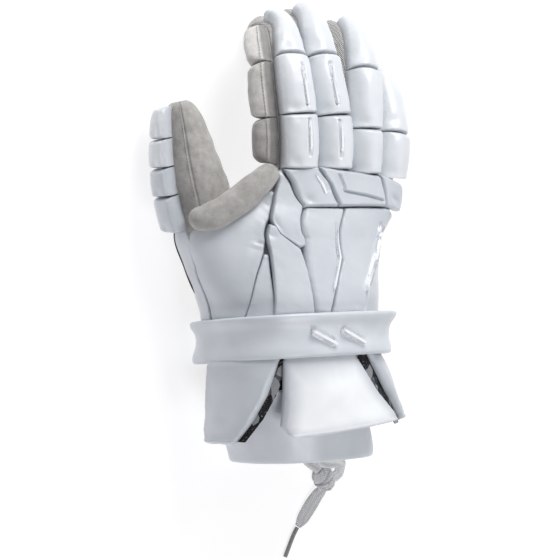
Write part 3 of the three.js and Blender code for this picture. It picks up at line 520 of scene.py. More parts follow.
# %% Printed lining and brushed liner
def printed_lining():
    """Angular patches 5.5 mm across in four greys, with a sprinkle of pale specks."""
    material, tree, shader = start_material("printed_knit_lining", {
        "Roughness": 0.85, "IOR": 1.45, "Specular IOR Level": 0.3})
    place = add(tree, PLACE, "Object")
    stretched = add(tree, "ShaderNodeMapping", "Vector", {
        "Vector": place, "Rotation": (0.3, 0.5, 0.6), "Scale": (1.0, 0.55, 1.0)},
        vector_type="POINT")
    cells = add(tree, CELLS, "Color", {
        "Vector": stretched, "Scale": scale_for(5.5), "Randomness": 1.0}, feature="F1")
    grey = add(tree, "ShaderNodeRGBToBW", "Val", {"Color": cells})
    patches = add(tree, RAMP, "Color", {"Fac": grey}, [
        (0.0, "#17171A"), (0.36, "#55565B"), (0.5, "#96979B"), (0.64, "#222226")])
    patches.node.color_ramp.interpolation = "CONSTANT"
    sprinkle = add(tree, NOISE, "Fac", {
        "Vector": place, "Scale": scale_for(1.1), "Detail": 2.0, "Roughness": 0.8})
    specks = add(tree, RANGE, "Result", {
        "Value": sprinkle, "From Min": 0.62, "From Max": 0.68, "To Min": 0.0, "To Max": 0.8},
        interpolation_type="SMOOTHSTEP")
    tone = add(tree, MIX, MIX_RESULT, {
        MIX_FACTOR: specks, MIX_FIRST: patches, MIX_SECOND: "#C4C5C8"}, data_type="RGBA")
    tree.links.new(tone, shader.inputs["Base Color"])
    loops = add(tree, NOISE, "Fac", {"Vector": place, "Scale": scale_for(0.9), "Detail": 3.0})
    relief = add(tree, BUMP, "Normal", {"Height": loops, "Distance": 0.25 * MM})
    tree.links.new(relief, shader.inputs["Normal"])
    return material


def brushed_liner():
    """A dark brushed knit: nearly black, with loops 1.2 mm across."""
    material, tree, shader = start_material("brushed_dark_knit", {
        "Roughness": 0.95, "IOR": 1.45, "Specular IOR Level": 0.2, "Sheen Weight": 0.3})
    place = add(tree, PLACE, "Object")
    loops = add(tree, NOISE, "Fac", {
        "Vector": place, "Scale": scale_for(1.2), "Detail": 3.0, "Roughness": 0.7})
    tone = add(tree, RAMP, "Color", {"Fac": loops}, [(0.35, "#17171A"), (0.65, "#303034")])
    tree.links.new(tone, shader.inputs["Base Color"])
    relief = add(tree, BUMP, "Normal", {"Height": loops, "Distance": 0.4 * MM})
    tree.links.new(relief, shader.inputs["Normal"])
    return material


LINING = printed_lining()
LINER = brushed_liner()
print("lining and liner:", LINING.name, LINER.name)


# %% [markdown]
# ### Flat woven lace
# The lace is woven polyester in a herringbone: ribs slant one way, then turn over and slant the
# other. A real rib is under a millimetre wide, and it is drawn 1.5 mm wide so that it shows.

# %% Flat woven lace
LACE_RIB_MM = 1.5
HERRINGBONE_MM = 2.4


def woven_lace():
    """A herringbone: a sine of the way along plus the way around folded to and fro, so that
    the ribs slant and turn over every 2.4 mm across the lace."""
    material, tree, shader = start_material("flat_woven_polyester", {
        "Roughness": 0.75, "IOR": 1.5, "Specular IOR Level": 0.35, "Sheen Weight": 0.25})
    around = add(tree, CARRIED, "Fac", attribute_name="around_mm")
    along = add(tree, CARRIED, "Fac", attribute_name="along_mm")
    folded = add(tree, MATH, "Value", {0: around, 1: HERRINGBONE_MM}, operation="PINGPONG")
    slant = add(tree, MATH, "Value", {0: along, 1: folded}, operation="ADD")
    turn = add(tree, MATH, "Value", {0: slant, 1: 2 * math.pi / LACE_RIB_MM},
               operation="MULTIPLY")
    rib = add(tree, MATH, "Value", {0: turn}, operation="SINE")
    low = add(tree, MATH, "Value", {0: rib, 1: 0.4}, operation="MULTIPLY")
    height = add(tree, MATH, "Value", {0: low, 1: 0.5}, operation="ADD")
    tone = add(tree, RAMP, "Color", {"Fac": height}, [(0.1, "#BEBFC3"), (0.7, "#F2F3F4")])
    tree.links.new(tone, shader.inputs["Base Color"])
    relief = add(tree, BUMP, "Normal", {"Height": height, "Distance": 0.4 * MM})
    tree.links.new(relief, shader.inputs["Normal"])
    return material


LACE = woven_lace()
print("lace:", LACE.name)

# %% [markdown]
# ## From arrays of points to a mesh
# Every piece is a grid of points. A tube is a row of rings, and a pad is a top sheet and an
# under sheet joined around the rim. The points are worked out as whole arrays, and handed to
# Blender in one call each. A closed mesh tells by its signed volume if its faces point outwards:
# the sum over its faces of a corner times the cross product of the other two is then positive.


# %% Grid helpers
def grid_quads(rows, columns, wrap_rows=False, wrap_columns=False, start=0):
    """Quads of a rows by columns grid of points, joined end to end where wrapped."""
    r = np.arange(rows if wrap_rows else rows - 1)[:, None]
    c = np.arange(columns if wrap_columns else columns - 1)[None, :]
    here, below = r * columns, ((r + 1) % rows) * columns
    right = (c + 1) % columns
    quads = np.stack([here + c, here + right, below + right, below + c], axis=-1)
    return quads.reshape(-1, 4) + start


def signed_volume(points, faces):
    """Six times the volume inside the faces, positive when they point outwards."""
    corner = points[faces]
    total = 0.0
    for k in range(1, faces.shape[1] - 1):
        total += np.sum(corner[:, 0] * np.cross(corner[:, k], corner[:, k + 1]))
    return total


def make_piece(name, points, faces, materials, slots=None, marks=None):
    """A mesh object from points in mm, a list of face arrays and the numbers on its points."""
    points = (np.asarray(points, float) + [0.0, REST_SHIFT, 0.0]) * MM
    faces = [np.asarray(part, np.int32) for part in faces if len(part)]
    if sum(signed_volume(points, part) for part in faces) < 0:
        faces = [part[:, ::-1] for part in faces]
    sizes = np.concatenate([np.full(len(part), part.shape[1]) for part in faces])
    corners = np.concatenate([part.ravel() for part in faces]).astype(np.int32)
    mesh = bpy.data.meshes.new(name)
    mesh.vertices.add(len(points))
    mesh.vertices.foreach_set("co", points.astype(np.float32).ravel())
    mesh.loops.add(len(corners))
    mesh.loops.foreach_set("vertex_index", corners)
    mesh.polygons.add(len(sizes))
    starts = np.concatenate([[0], np.cumsum(sizes)[:-1]]).astype(np.int32)
    mesh.polygons.foreach_set("loop_start", starts)
    for material in materials:
        mesh.materials.append(material)
    if slots is not None:
        mesh.polygons.foreach_set("material_index", np.asarray(slots, np.int32))
    mesh.polygons.foreach_set("use_smooth", np.ones(len(sizes), bool))
    for key, values in (marks or {}).items():
        layer = mesh.attributes.new(key, "FLOAT", "POINT")
        layer.data.foreach_set("value", np.asarray(values, np.float32).ravel())
    mesh.update(calc_edges=True)
    piece = bpy.data.objects.new(name, mesh)
    bpy.context.scene.collection.objects.link(piece)
    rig.ride(piece, BODY)
    return piece


def distances(grid, axis):
    """How far along each line of the grid a point is, in mm, from the line's start."""
    steps = np.linalg.norm(np.diff(grid, axis=axis), axis=-1)
    far = np.cumsum(steps, axis=axis)
    first = np.zeros_like(np.take(far, [0], axis=axis))
    return np.concatenate([first, far], axis=axis)


FAR_FROM_SEAM = 20.0


def tube_piece(name, rings, materials, loop=False, slots=None, marks=None):
    """Rings joined one to the next. A loop joins the last to the first, a tube gets two caps."""
    rows, columns = rings.shape[:2]
    around = distances(rings, 1)
    along = distances(rings, 0)
    numbers = {"around_mm": around, "along_mm": along,
               "seam_mm": np.full((rows, columns), FAR_FROM_SEAM)}
    numbers.update(marks or {})
    points = rings.reshape(-1, 3)
    faces = [grid_quads(rows, columns, wrap_rows=loop, wrap_columns=True)]
    count = len(faces[0])
    if not loop:
        ring = np.arange(columns)
        after = np.roll(ring, -1)
        last = (rows - 1) * columns
        hubs = np.stack([rings[0].mean(axis=0), rings[-1].mean(axis=0)])
        points = np.concatenate([points, hubs])
        low = np.stack([np.full(columns, rows * columns), after, ring], axis=-1)
        high = np.stack([np.full(columns, rows * columns + 1), last + ring, last + after], axis=-1)
        faces.append(np.concatenate([low, high]))
        numbers = {key: np.concatenate([np.ravel(value), [np.ravel(value)[0], np.ravel(value)[-1]]])
                   for key, value in numbers.items()}
    if slots is not None:
        slots = np.concatenate([np.ravel(slots)[:count],
                                np.full(sum(len(f) for f in faces[1:]), np.ravel(slots)[-1])])
    return make_piece(name, points, faces, materials, slots, numbers)


BASE_STEP = 4


def rim_of(rows, columns, start=0):
    """The points round the edge of a grid, in order."""
    index = np.arange(rows * columns).reshape(rows, columns) + start
    return np.concatenate([index[0, :-1], index[:-1, -1], index[-1, :0:-1], index[:0:-1, 0]])


def both_sheets(values):
    """Numbers of the top grid, then those of the base grid under it."""
    return np.concatenate([values.ravel(), values[::BASE_STEP, ::BASE_STEP].ravel()])


def sheet_pair(top, base):
    """Points and faces of a closed solid: a fine top grid, a base grid of every fourth row and
    column, and the rim between them. Each piece of the top's rim goes to the nearest base point,
    and halfway between two of those one more triangle closes the wall."""
    rows, columns = top.shape[:2]
    count = rows * columns
    coarse = base[::BASE_STEP, ::BASE_STEP]
    upper = grid_quads(rows, columns)
    lower = grid_quads(*coarse.shape[:2], start=count)[:, ::-1]
    rim, under = rim_of(rows, columns), rim_of(*coarse.shape[:2], start=count)
    near = (np.arange(len(rim)) + BASE_STEP // 2) // BASE_STEP % len(under)
    wall = np.stack([np.roll(rim, -1), rim, under[near]], axis=-1)
    halfway = rim[BASE_STEP // 2::BASE_STEP]
    filler = np.stack([halfway, under, np.roll(under, -1)], axis=-1)
    points = np.concatenate([top.reshape(-1, 3), coarse.reshape(-1, 3)])
    return points, [np.concatenate([upper, lower]), np.concatenate([wall, filler])]


print("quads of a 73 by 73 grid:", len(grid_quads(73, 73)), "and its rim:", len(rim_of(73, 73)))

# %% [markdown]
# ## The surfaces that the pads lie on
# The hand is a rounded section that changes along its length: a superellipse, the curve where
# two powers of the sides add up to one. A table gives its widths, heights and middle at a few
# places, and a smooth curve that never overshoots runs through the rows. The fingers use the
# same section, square to their own bent centre line.

# %% Tables of sections, in millimetres
HAND = [
    [-60, -8, 54, 57, 56, 45, 45, 2.4, 0.20, 0], [0, -8, 54, 57, 56, 45, 45, 2.4, 0.20, 0],
    [20, -8, 52, 61, 57, 44, 43, 2.2, 0.17, 0], [50, -7, 45, 76, 60, 43, 38, 1.8, 0.10, 0],
    [75, -4, 40, 88, 63, 42, 33, 1.6, 0.05, 0], [97, 8, 46, 74, 63, 31, 30, 1.8, 0, 0],
    [114, 14, 54, 59, 60, 19, 24, 2.4, 0, 0], [126, 15, 56, 56, 58, 16, 20, 2.6, 0, 0],
]
STRAP = [
    [-30, -6, 56, 60, 68, 50, 50, 2.4, 0.20, 0.02], [-3, -7, 55, 60, 65, 49, 50, 2.4, 0.20, 0.02],
    [30, -7, 55, 65, 66, 50, 50, 2.4, 0.20, 0.02],
]
CUFF = [
    [-110, 13, 54, 74, 74, 50, 48, 2.4, 0.16, 0.045],
    [-75, 11, 54, 71, 76, 49.5, 48, 2.4, 0.17, 0.045],
    [-45, 2, 54, 65, 67, 48.5, 47, 2.4, 0.19, 0.045],
    [-18, -7, 54, 64, 61, 48.8, 47.5, 2.4, 0.20, 0.045],
]
SLEEVE = [
    [-110, 22, 45, 54, 53, 41, 41, 2.3, 0.14, 0.02],
    [-92, 20, 45.5, 54, 53, 41.5, 41.5, 2.3, 0.15, 0.02],
    [-65, 8, 49, 55, 53, 43, 43, 2.4, 0.18, 0.02], [-40, -8, 54, 56.4, 56, 45, 45, 2.4, 0.20, 0],
]
FINGERS = {
    "index": (-6, [
        [-25.2, 118.3, 60, 14.4, 12.6], [-26, 140, 59, 14.4, 12.6], [-27, 158, 56.5, 14.4, 12.6],
        [-29, 184, 50, 13.6, 12], [-27, 204, 38, 11.6, 10.6], [-24, 215, 25, 9.8, 9],
        [-23, 218.4, 11, 8.6, 8.2], [-23, 219, 1.4, 4.8, 4.6]]),
    "middle": (0, [
        [4.4, 118.3, 62, 13.4, 12], [4, 140, 61, 13.4, 12], [3, 158, 58, 13.4, 12],
        [0, 189, 48, 12.8, 11.6], [0.8, 211, 35, 11.2, 10.4], [2.6, 223, 22.5, 9.6, 9],
        [3, 226.6, 10.5, 8.6, 8.2], [3, 227.2, 1.2, 4.8, 4.6]]),
    "ring": (8, [
        [31.2, 118.3, 62, 11.8, 12], [30.8, 136, 61.5, 11.9, 12], [30.6, 151, 60, 12, 12],
        [32.5, 182, 53, 12, 11.6], [36, 204, 40, 11, 10.4], [38.5, 216.5, 26.5, 9.6, 9],
        [39, 220.4, 11.5, 8.6, 8.2], [39, 221, 1.4, 4.8, 4.6]]),
    "pinky": (16, [
        [57.6, 118.3, 58, 12.6, 12], [59, 134, 57, 12.6, 12], [60.6, 147, 54.5, 12.6, 12],
        [62.4, 165, 46.5, 12, 11.2], [63.2, 181, 35.5, 10.4, 10], [63.6, 190, 24.5, 9, 8.6],
        [63.8, 193, 11.5, 8, 7.4], [63.8, 193.6, 1.6, 4.6, 4.4]]),
    "thumb": (0, [
        [-72, 66, 36, 20, 22], [-79, 84, 35, 22, 23], [-85, 102, 32.5, 21.5, 22.5],
        [-91, 124, 29, 18.5, 20], [-95, 142, 26.5, 15, 17], [-97.5, 153, 25, 12, 14],
        [-99, 160, 24, 8.5, 10], [-99.6, 162.5, 23.6, 4.8, 6]]),
}


SIDE_TURN = 0.18
BACK_CORNER, UNDER_CORNER = 2.6, 2.8
LEAN_LEVEL = 55
FINGER_CORNER, THUMB_CORNER = 2.9, 2.3
print("tables for:", list(FINGERS), "and the hand, strap, cuff and sleeve")


# %% The smooth curve through a table and the two surfaces
def smooth_rows(table, place):
    """Cubic pieces between rows. The slope at a row is the weighted harmonic mean of the slopes
    on its two sides, and zero where they differ in sign, so the curve never overshoots."""
    table = np.asarray(table, float)
    x = table[:, 0]
    step = np.diff(x)[:, None]
    slope = np.diff(table, axis=0) / step
    bend = np.concatenate([slope[:1], np.zeros_like(slope[1:]), slope[-1:]])
    before, after = slope[:-1], slope[1:]
    weight_before = 2 * step[1:] + step[:-1]
    weight_after = step[1:] + 2 * step[:-1]
    same = before * after > 0
    b, a = np.where(same, before, 1.0), np.where(same, after, 1.0)
    mean = (weight_before + weight_after) / (weight_before / b + weight_after / a)
    bend[1:-1] = np.where(same, mean, 0.0)
    at = np.clip(place, x[0], x[-1])
    k = np.clip(np.searchsorted(x, at, side="right") - 1, 0, len(x) - 2)
    s = ((at - x[k]) / step[k, 0])[..., None]
    rise_start, rise_end = bend[k] * step[k], bend[k + 1] * step[k]
    return ((2 * s**3 - 3 * s**2 + 1) * table[k] + (s**3 - 2 * s**2 + s) * rise_start
            + (3 * s**2 - 2 * s**3) * table[k + 1] + (s**3 - s**2) * rise_end)


def superellipse(cosine, sine, corner):
    """How far the section reaches in a direction, as a share of its half sizes."""
    return (np.abs(cosine) ** corner + np.abs(sine) ** corner) ** (-1.0 / corner)


def body_point(table, angle, along, grow=0.0):
    """A point of the hand or cuff. Angle 0 is the little finger side, 90 the back of the hand,
    180 the thumb side. The section leans with height and slants across."""
    angle, along, grow = np.broadcast_arrays(angle, along, grow)
    row = smooth_rows(table, along)
    middle, level, thumb, little, up, down, shoulder, lean, slant = (
        row[..., i] for i in range(1, 10))
    cosine, sine = np.cos(np.radians(angle)), np.sin(np.radians(angle))
    left = 0.5 - 0.5 * np.tanh(cosine / SIDE_TURN)
    top = 0.5 + 0.5 * np.tanh(sine / SIDE_TURN)
    back_corner = BACK_CORNER + (shoulder - BACK_CORNER) * left
    corner = top * back_corner + (1 - top) * UNDER_CORNER
    reach = superellipse(cosine, sine, corner)
    x = middle + (np.where(cosine > 0, little, thumb) + grow) * reach * cosine
    z = level + (np.where(sine > 0, up, down) + grow) * reach * sine
    return np.stack([x, along + (z - LEAN_LEVEL) * lean + (x - middle) * slant, z], axis=-1)


def unit(vectors):
    """Vectors shortened to length one."""
    return vectors / np.linalg.norm(vectors, axis=-1, keepdims=True)


def finger_point(name, angle, place, aside=0.0, above=None, corner=None):
    """A point of a finger: place 0 is the knuckle, and each row of its table is one place on.
    The section is wider by aside and taller by above, and a corner of 2 makes it an ellipse."""
    above = aside if above is None else above
    tilt, rows = FINGERS[name]
    table = np.column_stack([np.arange(len(rows)), rows])
    angle, place, aside, above = np.broadcast_arrays(angle, place, aside, above)
    row = smooth_rows(table, place)
    ahead = smooth_rows(table, np.minimum(place + 0.05, len(rows) - 1))
    behind = smooth_rows(table, np.maximum(place - 0.05, 0))
    forward = unit(ahead[..., 1:4] - behind[..., 1:4])
    forward = np.where((place < 0.02)[..., None], [0.0, 1.0, 0.0], forward)
    lean = np.array([math.sin(math.radians(tilt)), 0.0, math.cos(math.radians(tilt))])
    across = unit(np.cross(forward, lean))
    up = unit(np.cross(across, forward))
    cosine, sine = np.cos(np.radians(angle)), np.sin(np.radians(angle))
    usual = THUMB_CORNER if name == "thumb" else FINGER_CORNER
    reach = superellipse(cosine, sine, corner or usual)
    return (row[..., 1:4] + across * ((row[..., 4] + aside) * reach * cosine)[..., None]
            + up * ((row[..., 5] + above) * reach * sine)[..., None])


def outward(surface, angle, along):
    """The direction straight out of a surface: the cross product of its two slopes."""
    step = 0.4
    sideways = surface(angle + step, along) - surface(angle - step, along)
    ahead = surface(angle, along + step) - surface(angle, along - step)
    normal = unit(np.cross(sideways, ahead))
    out = surface(angle, along) - surface(angle + 180, along)
    facing = np.sum(normal * out, axis=-1, keepdims=True)
    return np.where(facing < 0, -normal, normal)


def on_body(table, height, grow=0.0):
    """Lift off the hand or cuff: straight out by a share of height."""
    def surface(angle, along):
        return body_point(table, angle, along, grow)

    def lift(angle, along, share):
        out = outward(surface, angle, along)
        return surface(angle, along) + out * (np.asarray(share) * height)[..., None]
    return lift


def on_finger(name, aside, above, corner=None):
    """Lift off a finger: its section grows sideways by one height and upwards by another."""
    def lift(angle, place, share):
        return finger_point(name, angle, place, share * aside, share * above, corner)
    return lift


print("middle fingertip in mm:", finger_point("middle", 90.0, 6.0).round(1))

# %% [markdown]
# ## Foam pads
# A pad is cut foam, thick in the middle and sewn down flat all round. Its profile in from a seam
# is a quarter of a rounded curve: steep at first, then level after a few millimetres. Such a
# profile from each of the four sides, multiplied together, gives the flat top and the soft
# corners that real pads have. Dents are dimples taken off it, and a groove follows a line.


# %% The pad formula
def ease(count, pull=0.75):
    """Count places from -1 to 1, closer together near both ends."""
    t = np.linspace(-1, 1, count)
    return (1 - pull) * t + pull * np.sin(t * math.pi / 2)


def waves(points, lengths, seed):
    """A smooth random number for each point: sines of random directions and phases."""
    dice = np.random.default_rng(seed)
    total = np.zeros(points.shape[:-1])
    for length in lengths:
        direction = unit(dice.normal(size=3))
        total += np.sin(points @ direction * 2 * math.pi / length + dice.uniform(0, 6.3))
    return total / len(lengths)


def shoulder(distance, width, power):
    """The foam's height in from a seam: a quarter superellipse of this width."""
    inside = np.clip(distance / width, 0.0, 1.0)
    return (1 - (1 - inside) ** power) ** (1.0 / power)


def line_distance(x, y, line):
    """The distance of each point to a line of several straight parts."""
    best = np.full(x.shape, 1e9)
    for (ax, ay), (bx, by) in zip(line[:-1], line[1:]):
        length = max((bx - ax) ** 2 + (by - ay) ** 2, 1e-9)
        t = np.clip(((x - ax) * (bx - ax) + (y - ay) * (by - ay)) / length, 0, 1)
        best = np.minimum(best, np.hypot(x - ax - t * (bx - ax), y - ay - t * (by - ay)))
    return best


def patch_frame(rows, columns, lines, lift, seam=0.45, corner=0.0, wavy=0.0):
    """Angles and places of a grid over a patch, with its size in mm: each row of the patch runs
    from its left point to its right point, kept a seam clear of the edge. A seam below zero
    lets the sides press into their neighbours. Corner pulls the last two corners in:
    u' = u (1 - corner |u w|^4) for w > 0, and w' in the same way. Wavy makes the last row
    wander by this share of half the patch's length."""
    rows = np.asarray(rows, float)
    u, w = np.meshgrid(ease(columns), ease(lines))
    pull = 1 - corner * np.clip(np.abs(u) * w, 0, 1) ** 4
    wander = 1 - wavy * np.clip(w, 0, 1) ** 6 * (0.5 + 0.5 * np.sin(4.6 * u + 0.9))
    u, w = u * pull, w * pull * wander
    knots = np.linspace(0, 1, len(rows))

    def at(share_along, share_across):
        ends = np.stack([np.interp(share_along, knots, rows[:, i]) for i in range(4)], axis=-1)
        angle = ends[..., 1] + (ends[..., 3] - ends[..., 1]) * share_across
        along = ends[..., 0] + (ends[..., 2] - ends[..., 0]) * share_across
        return angle, along

    flat = np.zeros(1)
    start = lift(*at(flat, flat + 0.5), flat)
    end = lift(*at(flat + 1, flat + 0.5), flat)
    long = max(float(np.linalg.norm(end - start)), 4.0)
    share_along = 0.5 + 0.5 * w * (1 - 2 * max(seam, 0.0) / long)
    nothing = np.zeros_like(w)
    wide = np.linalg.norm(lift(*at(share_along, nothing), nothing)
                          - lift(*at(share_along, nothing + 1), nothing), axis=-1)
    wide = np.maximum(wide, 2.2 * seam)
    angle, along = at(share_along, 0.5 + 0.5 * u * (1 - 2 * seam / wide))
    flat_grid = lift(angle, along, nothing)
    half_wide = distances(flat_grid, 1)[:, -1:] / 2
    half_long = distances(flat_grid, 0)[-1:, :] / 2
    return u, w, angle, along, half_wide, half_long


LIP_INSET, LIP_WIDTH = 5.0, 3.0
GROOVE_BANK = 0.6
LOOSE_WAVES, TIGHT_WAVES = (16, 21, 27, 34), (6.5, 8, 9.5, 5.5)


def foam_pad(name, lift, rows, height, columns=73, lines=73, side=(5, 5), end=(4, 4), edge=0.2,
             crown=0.1, power=2.2, depth=0.2, dents=(), grooves=(), ripple=0.25, seed=1,
             material=LEATHER, fill=0.8, seam=0.18, held=0.0, corner=0.0, wavy=0.0, lip=0.0):
    """The surface of a sewn foam pad over a patch.
    Height share = edge + (1 - edge) x side profiles x end profiles x a slight crown, less a bell
    at each dent and a round channel along each groove. Side and end give the shoulder's width
    in mm at left and right, and at the first and last row; held is the share of its height that
    the foam keeps at its first row. Ripple is the foam's unevenness in mm, stronger and
    tighter near a seam, and lip the height of a rolled rim 5 mm in from the last row."""
    u, w, angle, along, half_wide, half_long = patch_frame(
        rows, columns, lines, lift, seam, corner, wavy)
    x, y = u * half_wide, w * half_long
    from_side = half_wide - np.abs(x)
    from_end = half_long - np.abs(y)
    profile = held + (1 - held) * shoulder(half_long + y, np.minimum(end[0], half_long), power)
    profile = profile * shoulder(half_long - y, np.minimum(end[1], half_long), power)
    profile *= shoulder(half_wide + x, np.minimum(side[0], half_wide), power)
    profile *= shoulder(half_wide - x, np.minimum(side[1], half_wide), power)
    profile *= 1 - crown + crown * (1 - u**2) * (1 - w**2)
    share = edge + (1 - edge) * profile
    rim = np.exp(-((half_long - y - LIP_INSET) / LIP_WIDTH) ** 2)
    share = share + lip / height * rim * profile
    for du, dw, radius, deep in dents:
        away = np.hypot(x - du * half_wide, y - dw * half_long)
        share = share - deep / height * np.exp(-((away / radius) ** 2)) * profile**0.3
    marked = np.minimum(from_side, from_end)
    for line, half, deep in grooves:
        near = line_distance(x, y, [(a * half_wide.mean(), b * half_long.mean()) for a, b in line])
        channel = np.sqrt(np.clip(1 - (near / half) ** 2, 0, 1))
        share = share - deep / height * channel
        marked = np.minimum(marked, near + GROOVE_BANK)
    spread = lift(angle, along, np.zeros_like(share))
    loose = waves(spread, LOOSE_WAVES, seed)
    tight = waves(spread, TIGHT_WAVES, seed + 1) * np.exp(-marked / 5.0)
    share = share + ripple * (loose + 1.2 * tight) / height * profile
    top = lift(angle, along, share)
    base = lift(angle, along, np.full_like(share, -depth))
    points, faces = sheet_pair(top, base)
    around, length = distances(top, 1), distances(top, 0)
    marks = {
        "seam_mm": np.concatenate([marked.ravel(), np.zeros(len(points) - marked.size)]),
        "around_mm": both_sheets(around),
        "along_mm": both_sheets(length),
    }
    piece = make_piece(name + "_foam", points, faces, [material], marks=marks)
    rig.padded(piece, fill=fill)
    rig.replaces(piece, name)


sample = shoulder(np.array([0.0, 1.0, 2.5, 5.0]), 5.0, 2.2)
print("foam height 0, 1, 2.5 and 5 mm in from a seam:", sample.round(2))


# %% [markdown]
# ## Rolls on the fingers
# Each finger has two or three foam rolls, so that it can bend between them. They wrap the back
# and both sides of the finger. The end that faces the wrist is cut square and shows as a small
# face of its own, so its shoulder is short. A dent at a lower corner shows where the leather is
# pulled into the seam.

# %% Finger rolls
ROLL_OVERHANG = 1.3
ROLL_HEIGHT, LAST_ROLL_HEIGHT = 12.0, 10.5
ROLLS = {
    "index": [[0.36, 1.99, 16, 146], [2.01, 3.39, 16, 146], [3.41, 5.35, 22, 143]],
    "middle": [[0.4, 1.99, 16, 164], [2.01, 3.24, 16, 164], [3.26, 5.3, 20, 160]],
    "ring": [[0.32, 1.99, 16, 164], [2.01, 3.24, 16, 164], [3.26, 5.3, 20, 160]],
    "pinky": [[0.1, 1.99, 14, 160], [2.01, 4.6, 16, 160]],
}
# The line of each trim on a roll: its lower place, its upper place and its angle.
ROLL_TRIMS = {
    ("index", 1): (0.75, 1.8, 82), ("index", 2): (2.2, 3.1, 82),
    ("middle", 1): (0.75, 1.8, 102), ("middle", 2): (2.2, 3.0, 102),
}
roll_count = 0
for finger, rolls in ROLLS.items():
    for number, (start, stop, right, left) in enumerate(rolls, 1):
        bevel = 4.0 if finger == "index" else 6.5
        name = f"{finger}_roll_{number}"
        tall = LAST_ROLL_HEIGHT if number == len(rolls) else ROLL_HEIGHT
        grooves = []
        if (finger, number) in ROLL_TRIMS:
            low, high, across = ROLL_TRIMS[finger, number]
            u = 2 * (across - left) / (right - left) - 1
            w0, w1 = (2 * (p - start) / (stop - start) - 1 for p in (low, high))
            grooves = [([(u, w0), (u, w1)], 1.7, 1.5)]
        roll_count += 1
        low_start = start - 0.2 if number == 1 else start
        far_left = left - 20 if number == len(rolls) else left
        foam_pad(name, on_finger(finger, ROLL_OVERHANG, tall),
                 [[low_start, left, low_start, right], [stop, far_left, stop, right]], tall,
                 columns=81, lines=73, side=(bevel, 3.2), end=(2.0, 3.2), edge=0.56, crown=0.12,
                 dents=[(-0.62, -0.78, 3.8, 2.2), (0.66, -0.8, 3.0, 1.5), (-0.5, 0.86, 3.0, 1.0)],
                 grooves=grooves, seed=10 + roll_count)
print("finger rolls:", roll_count)

# %% [markdown]
# ## Suede pads and thumb rolls
# The side of the index finger that the thumb pinches against has three thin suede pads. The
# thumb has four short rolls down its outer side. They are made by the same formula, with rounder
# shoulders for the suede because its foam is soft.

# %% Index side pads and thumb rolls
SIDE_PAD_HEIGHT = 11.0
INDEX_SIDE = on_finger("index", 15.5, 5.0, 2.0)
THUMB_SIDE = on_finger("thumb", SIDE_PAD_HEIGHT, SIDE_PAD_HEIGHT / 3)
SIDE_PADS = [[0.28, 1.95], [1.96, 3.35], [3.36, 4.8]]
THUMB_ROLLS = [[3.88, 6.3], [2.9, 3.85], [2.1, 2.87], [0.85, 2.07]]
# The index pads go from the darker suede copy to the paler one towards the tip: painted shade and painted light.
for number, (start, stop) in enumerate(SIDE_PADS, 1):
    foam_pad(f"index_side_pad_{number}", INDEX_SIDE,
             [[start, 236, start, 149], [stop, 236, stop, 149]], SIDE_PAD_HEIGHT,
             side=(12, 7), end=(5, 5), edge=0.42, crown=0.22, power=2.0, ripple=0.4,
             seed=40 + number, material=(PAINTED_SHADE_SUEDE, SUEDE, PAINTED_LIGHT_TIP_SUEDE)[number - 1], fill=0.6)
# Thumb rolls 3 and 4, nearer the wrist, take the darker leather copy: painted shade.
for number, (start, stop) in enumerate(THUMB_ROLLS, 1):
    foam_pad(f"thumb_roll_{number}", THUMB_SIDE,
             [[start, 238, start, 160], [stop, 238, stop, 160]], SIDE_PAD_HEIGHT,
             side=(4.5, 3), end=(2.4, 2.6), edge=0.48, crown=0.1,
             dents=[(0.4, -0.75, 3.0, 1.0)], seed=50 + number,
             material=LEATHER if number < 3 else PAINTED_SHADE_LEATHER)
print("side pads:", len(SIDE_PADS), "thumb rolls:", len(THUMB_ROLLS))

# %% [markdown]
# ## Pads on the back of the hand
# The back of the hand is a set of angular panels. Each row of a table gives the place and angle
# at the panel's left side, then at its right, from the finger end down to the wrist. The same
# formula then makes each panel's foam.

# %% Back pads
BACK_PADS = {
    "back_pad_triangle": [10, [[119, 152.5, 120, 149], [100.4, 139.6, 93, 115],
                               [83.2, 127.5, 71.6, 105], [63.2, 107.5, 65.1, 104.2]]],
    "back_pad_lower_left": [10, [[80.2, 126.5, 79.2, 122.5], [62, 125, 62, 107.5],
                                 [46, 126.5, 46, 105.9], [12, 133, 12, 107.2]]],
    "back_pad_centre": [10, [[93.2, 114, 94.2, 90], [71.6, 104.8, 71, 86],
                             [54.6, 106, 54.8, 83.1], [12, 107, 12, 95.9]]],
    "back_pad_right": [10, [[94.4, 89.3, 96.6, 49], [71, 85.2, 75, 46],
                            [54.8, 82.3, 54.8, 50], [12, 95.1, 12, 67]]],
    "back_edge_strip": [8, [[95.6, 47, 89, 12], [75, 45, 71, 10],
                            [54.8, 49, 54.8, 8], [12, 66, 12, 8]]],
    "knuckle_pad_left": [13, [[121, 147, 124.5, 121], [107, 131.5, 110.5, 108],
                              [92.6, 114, 94.4, 94.6]]],
    "knuckle_pad_right": [13, [[124, 118.6, 119.5, 66.4], [110, 106.4, 106.5, 61.4],
                               [94.6, 93.4, 97, 57.4]]],
    "knuckle_nub": [12, [[120.5, 64.9, 114, 40], [107, 60.2, 101, 36], [96.6, 55.8, 95.6, 34]]],
    "side_panel": [6, [[103.9, 152.6, 104.1, 142], [89.2, 156, 84, 129],
                       [80, 161, 68.5, 126.6], [74, 175, 60, 129], [44.7, 185.8, 38, 140.6],
                       [11, 191, 11, 155]]],
    "side_panel_lower": [6, [[59, 128.6, 59, 126.2], [11, 154, 11, 132.6]]],
    "thumb_side_strip": [6, [[80, 218, 77, 180], [70, 220, 68, 174], [45, 222, 44.7, 187],
                             [11, 222, 11, 192]]],
}
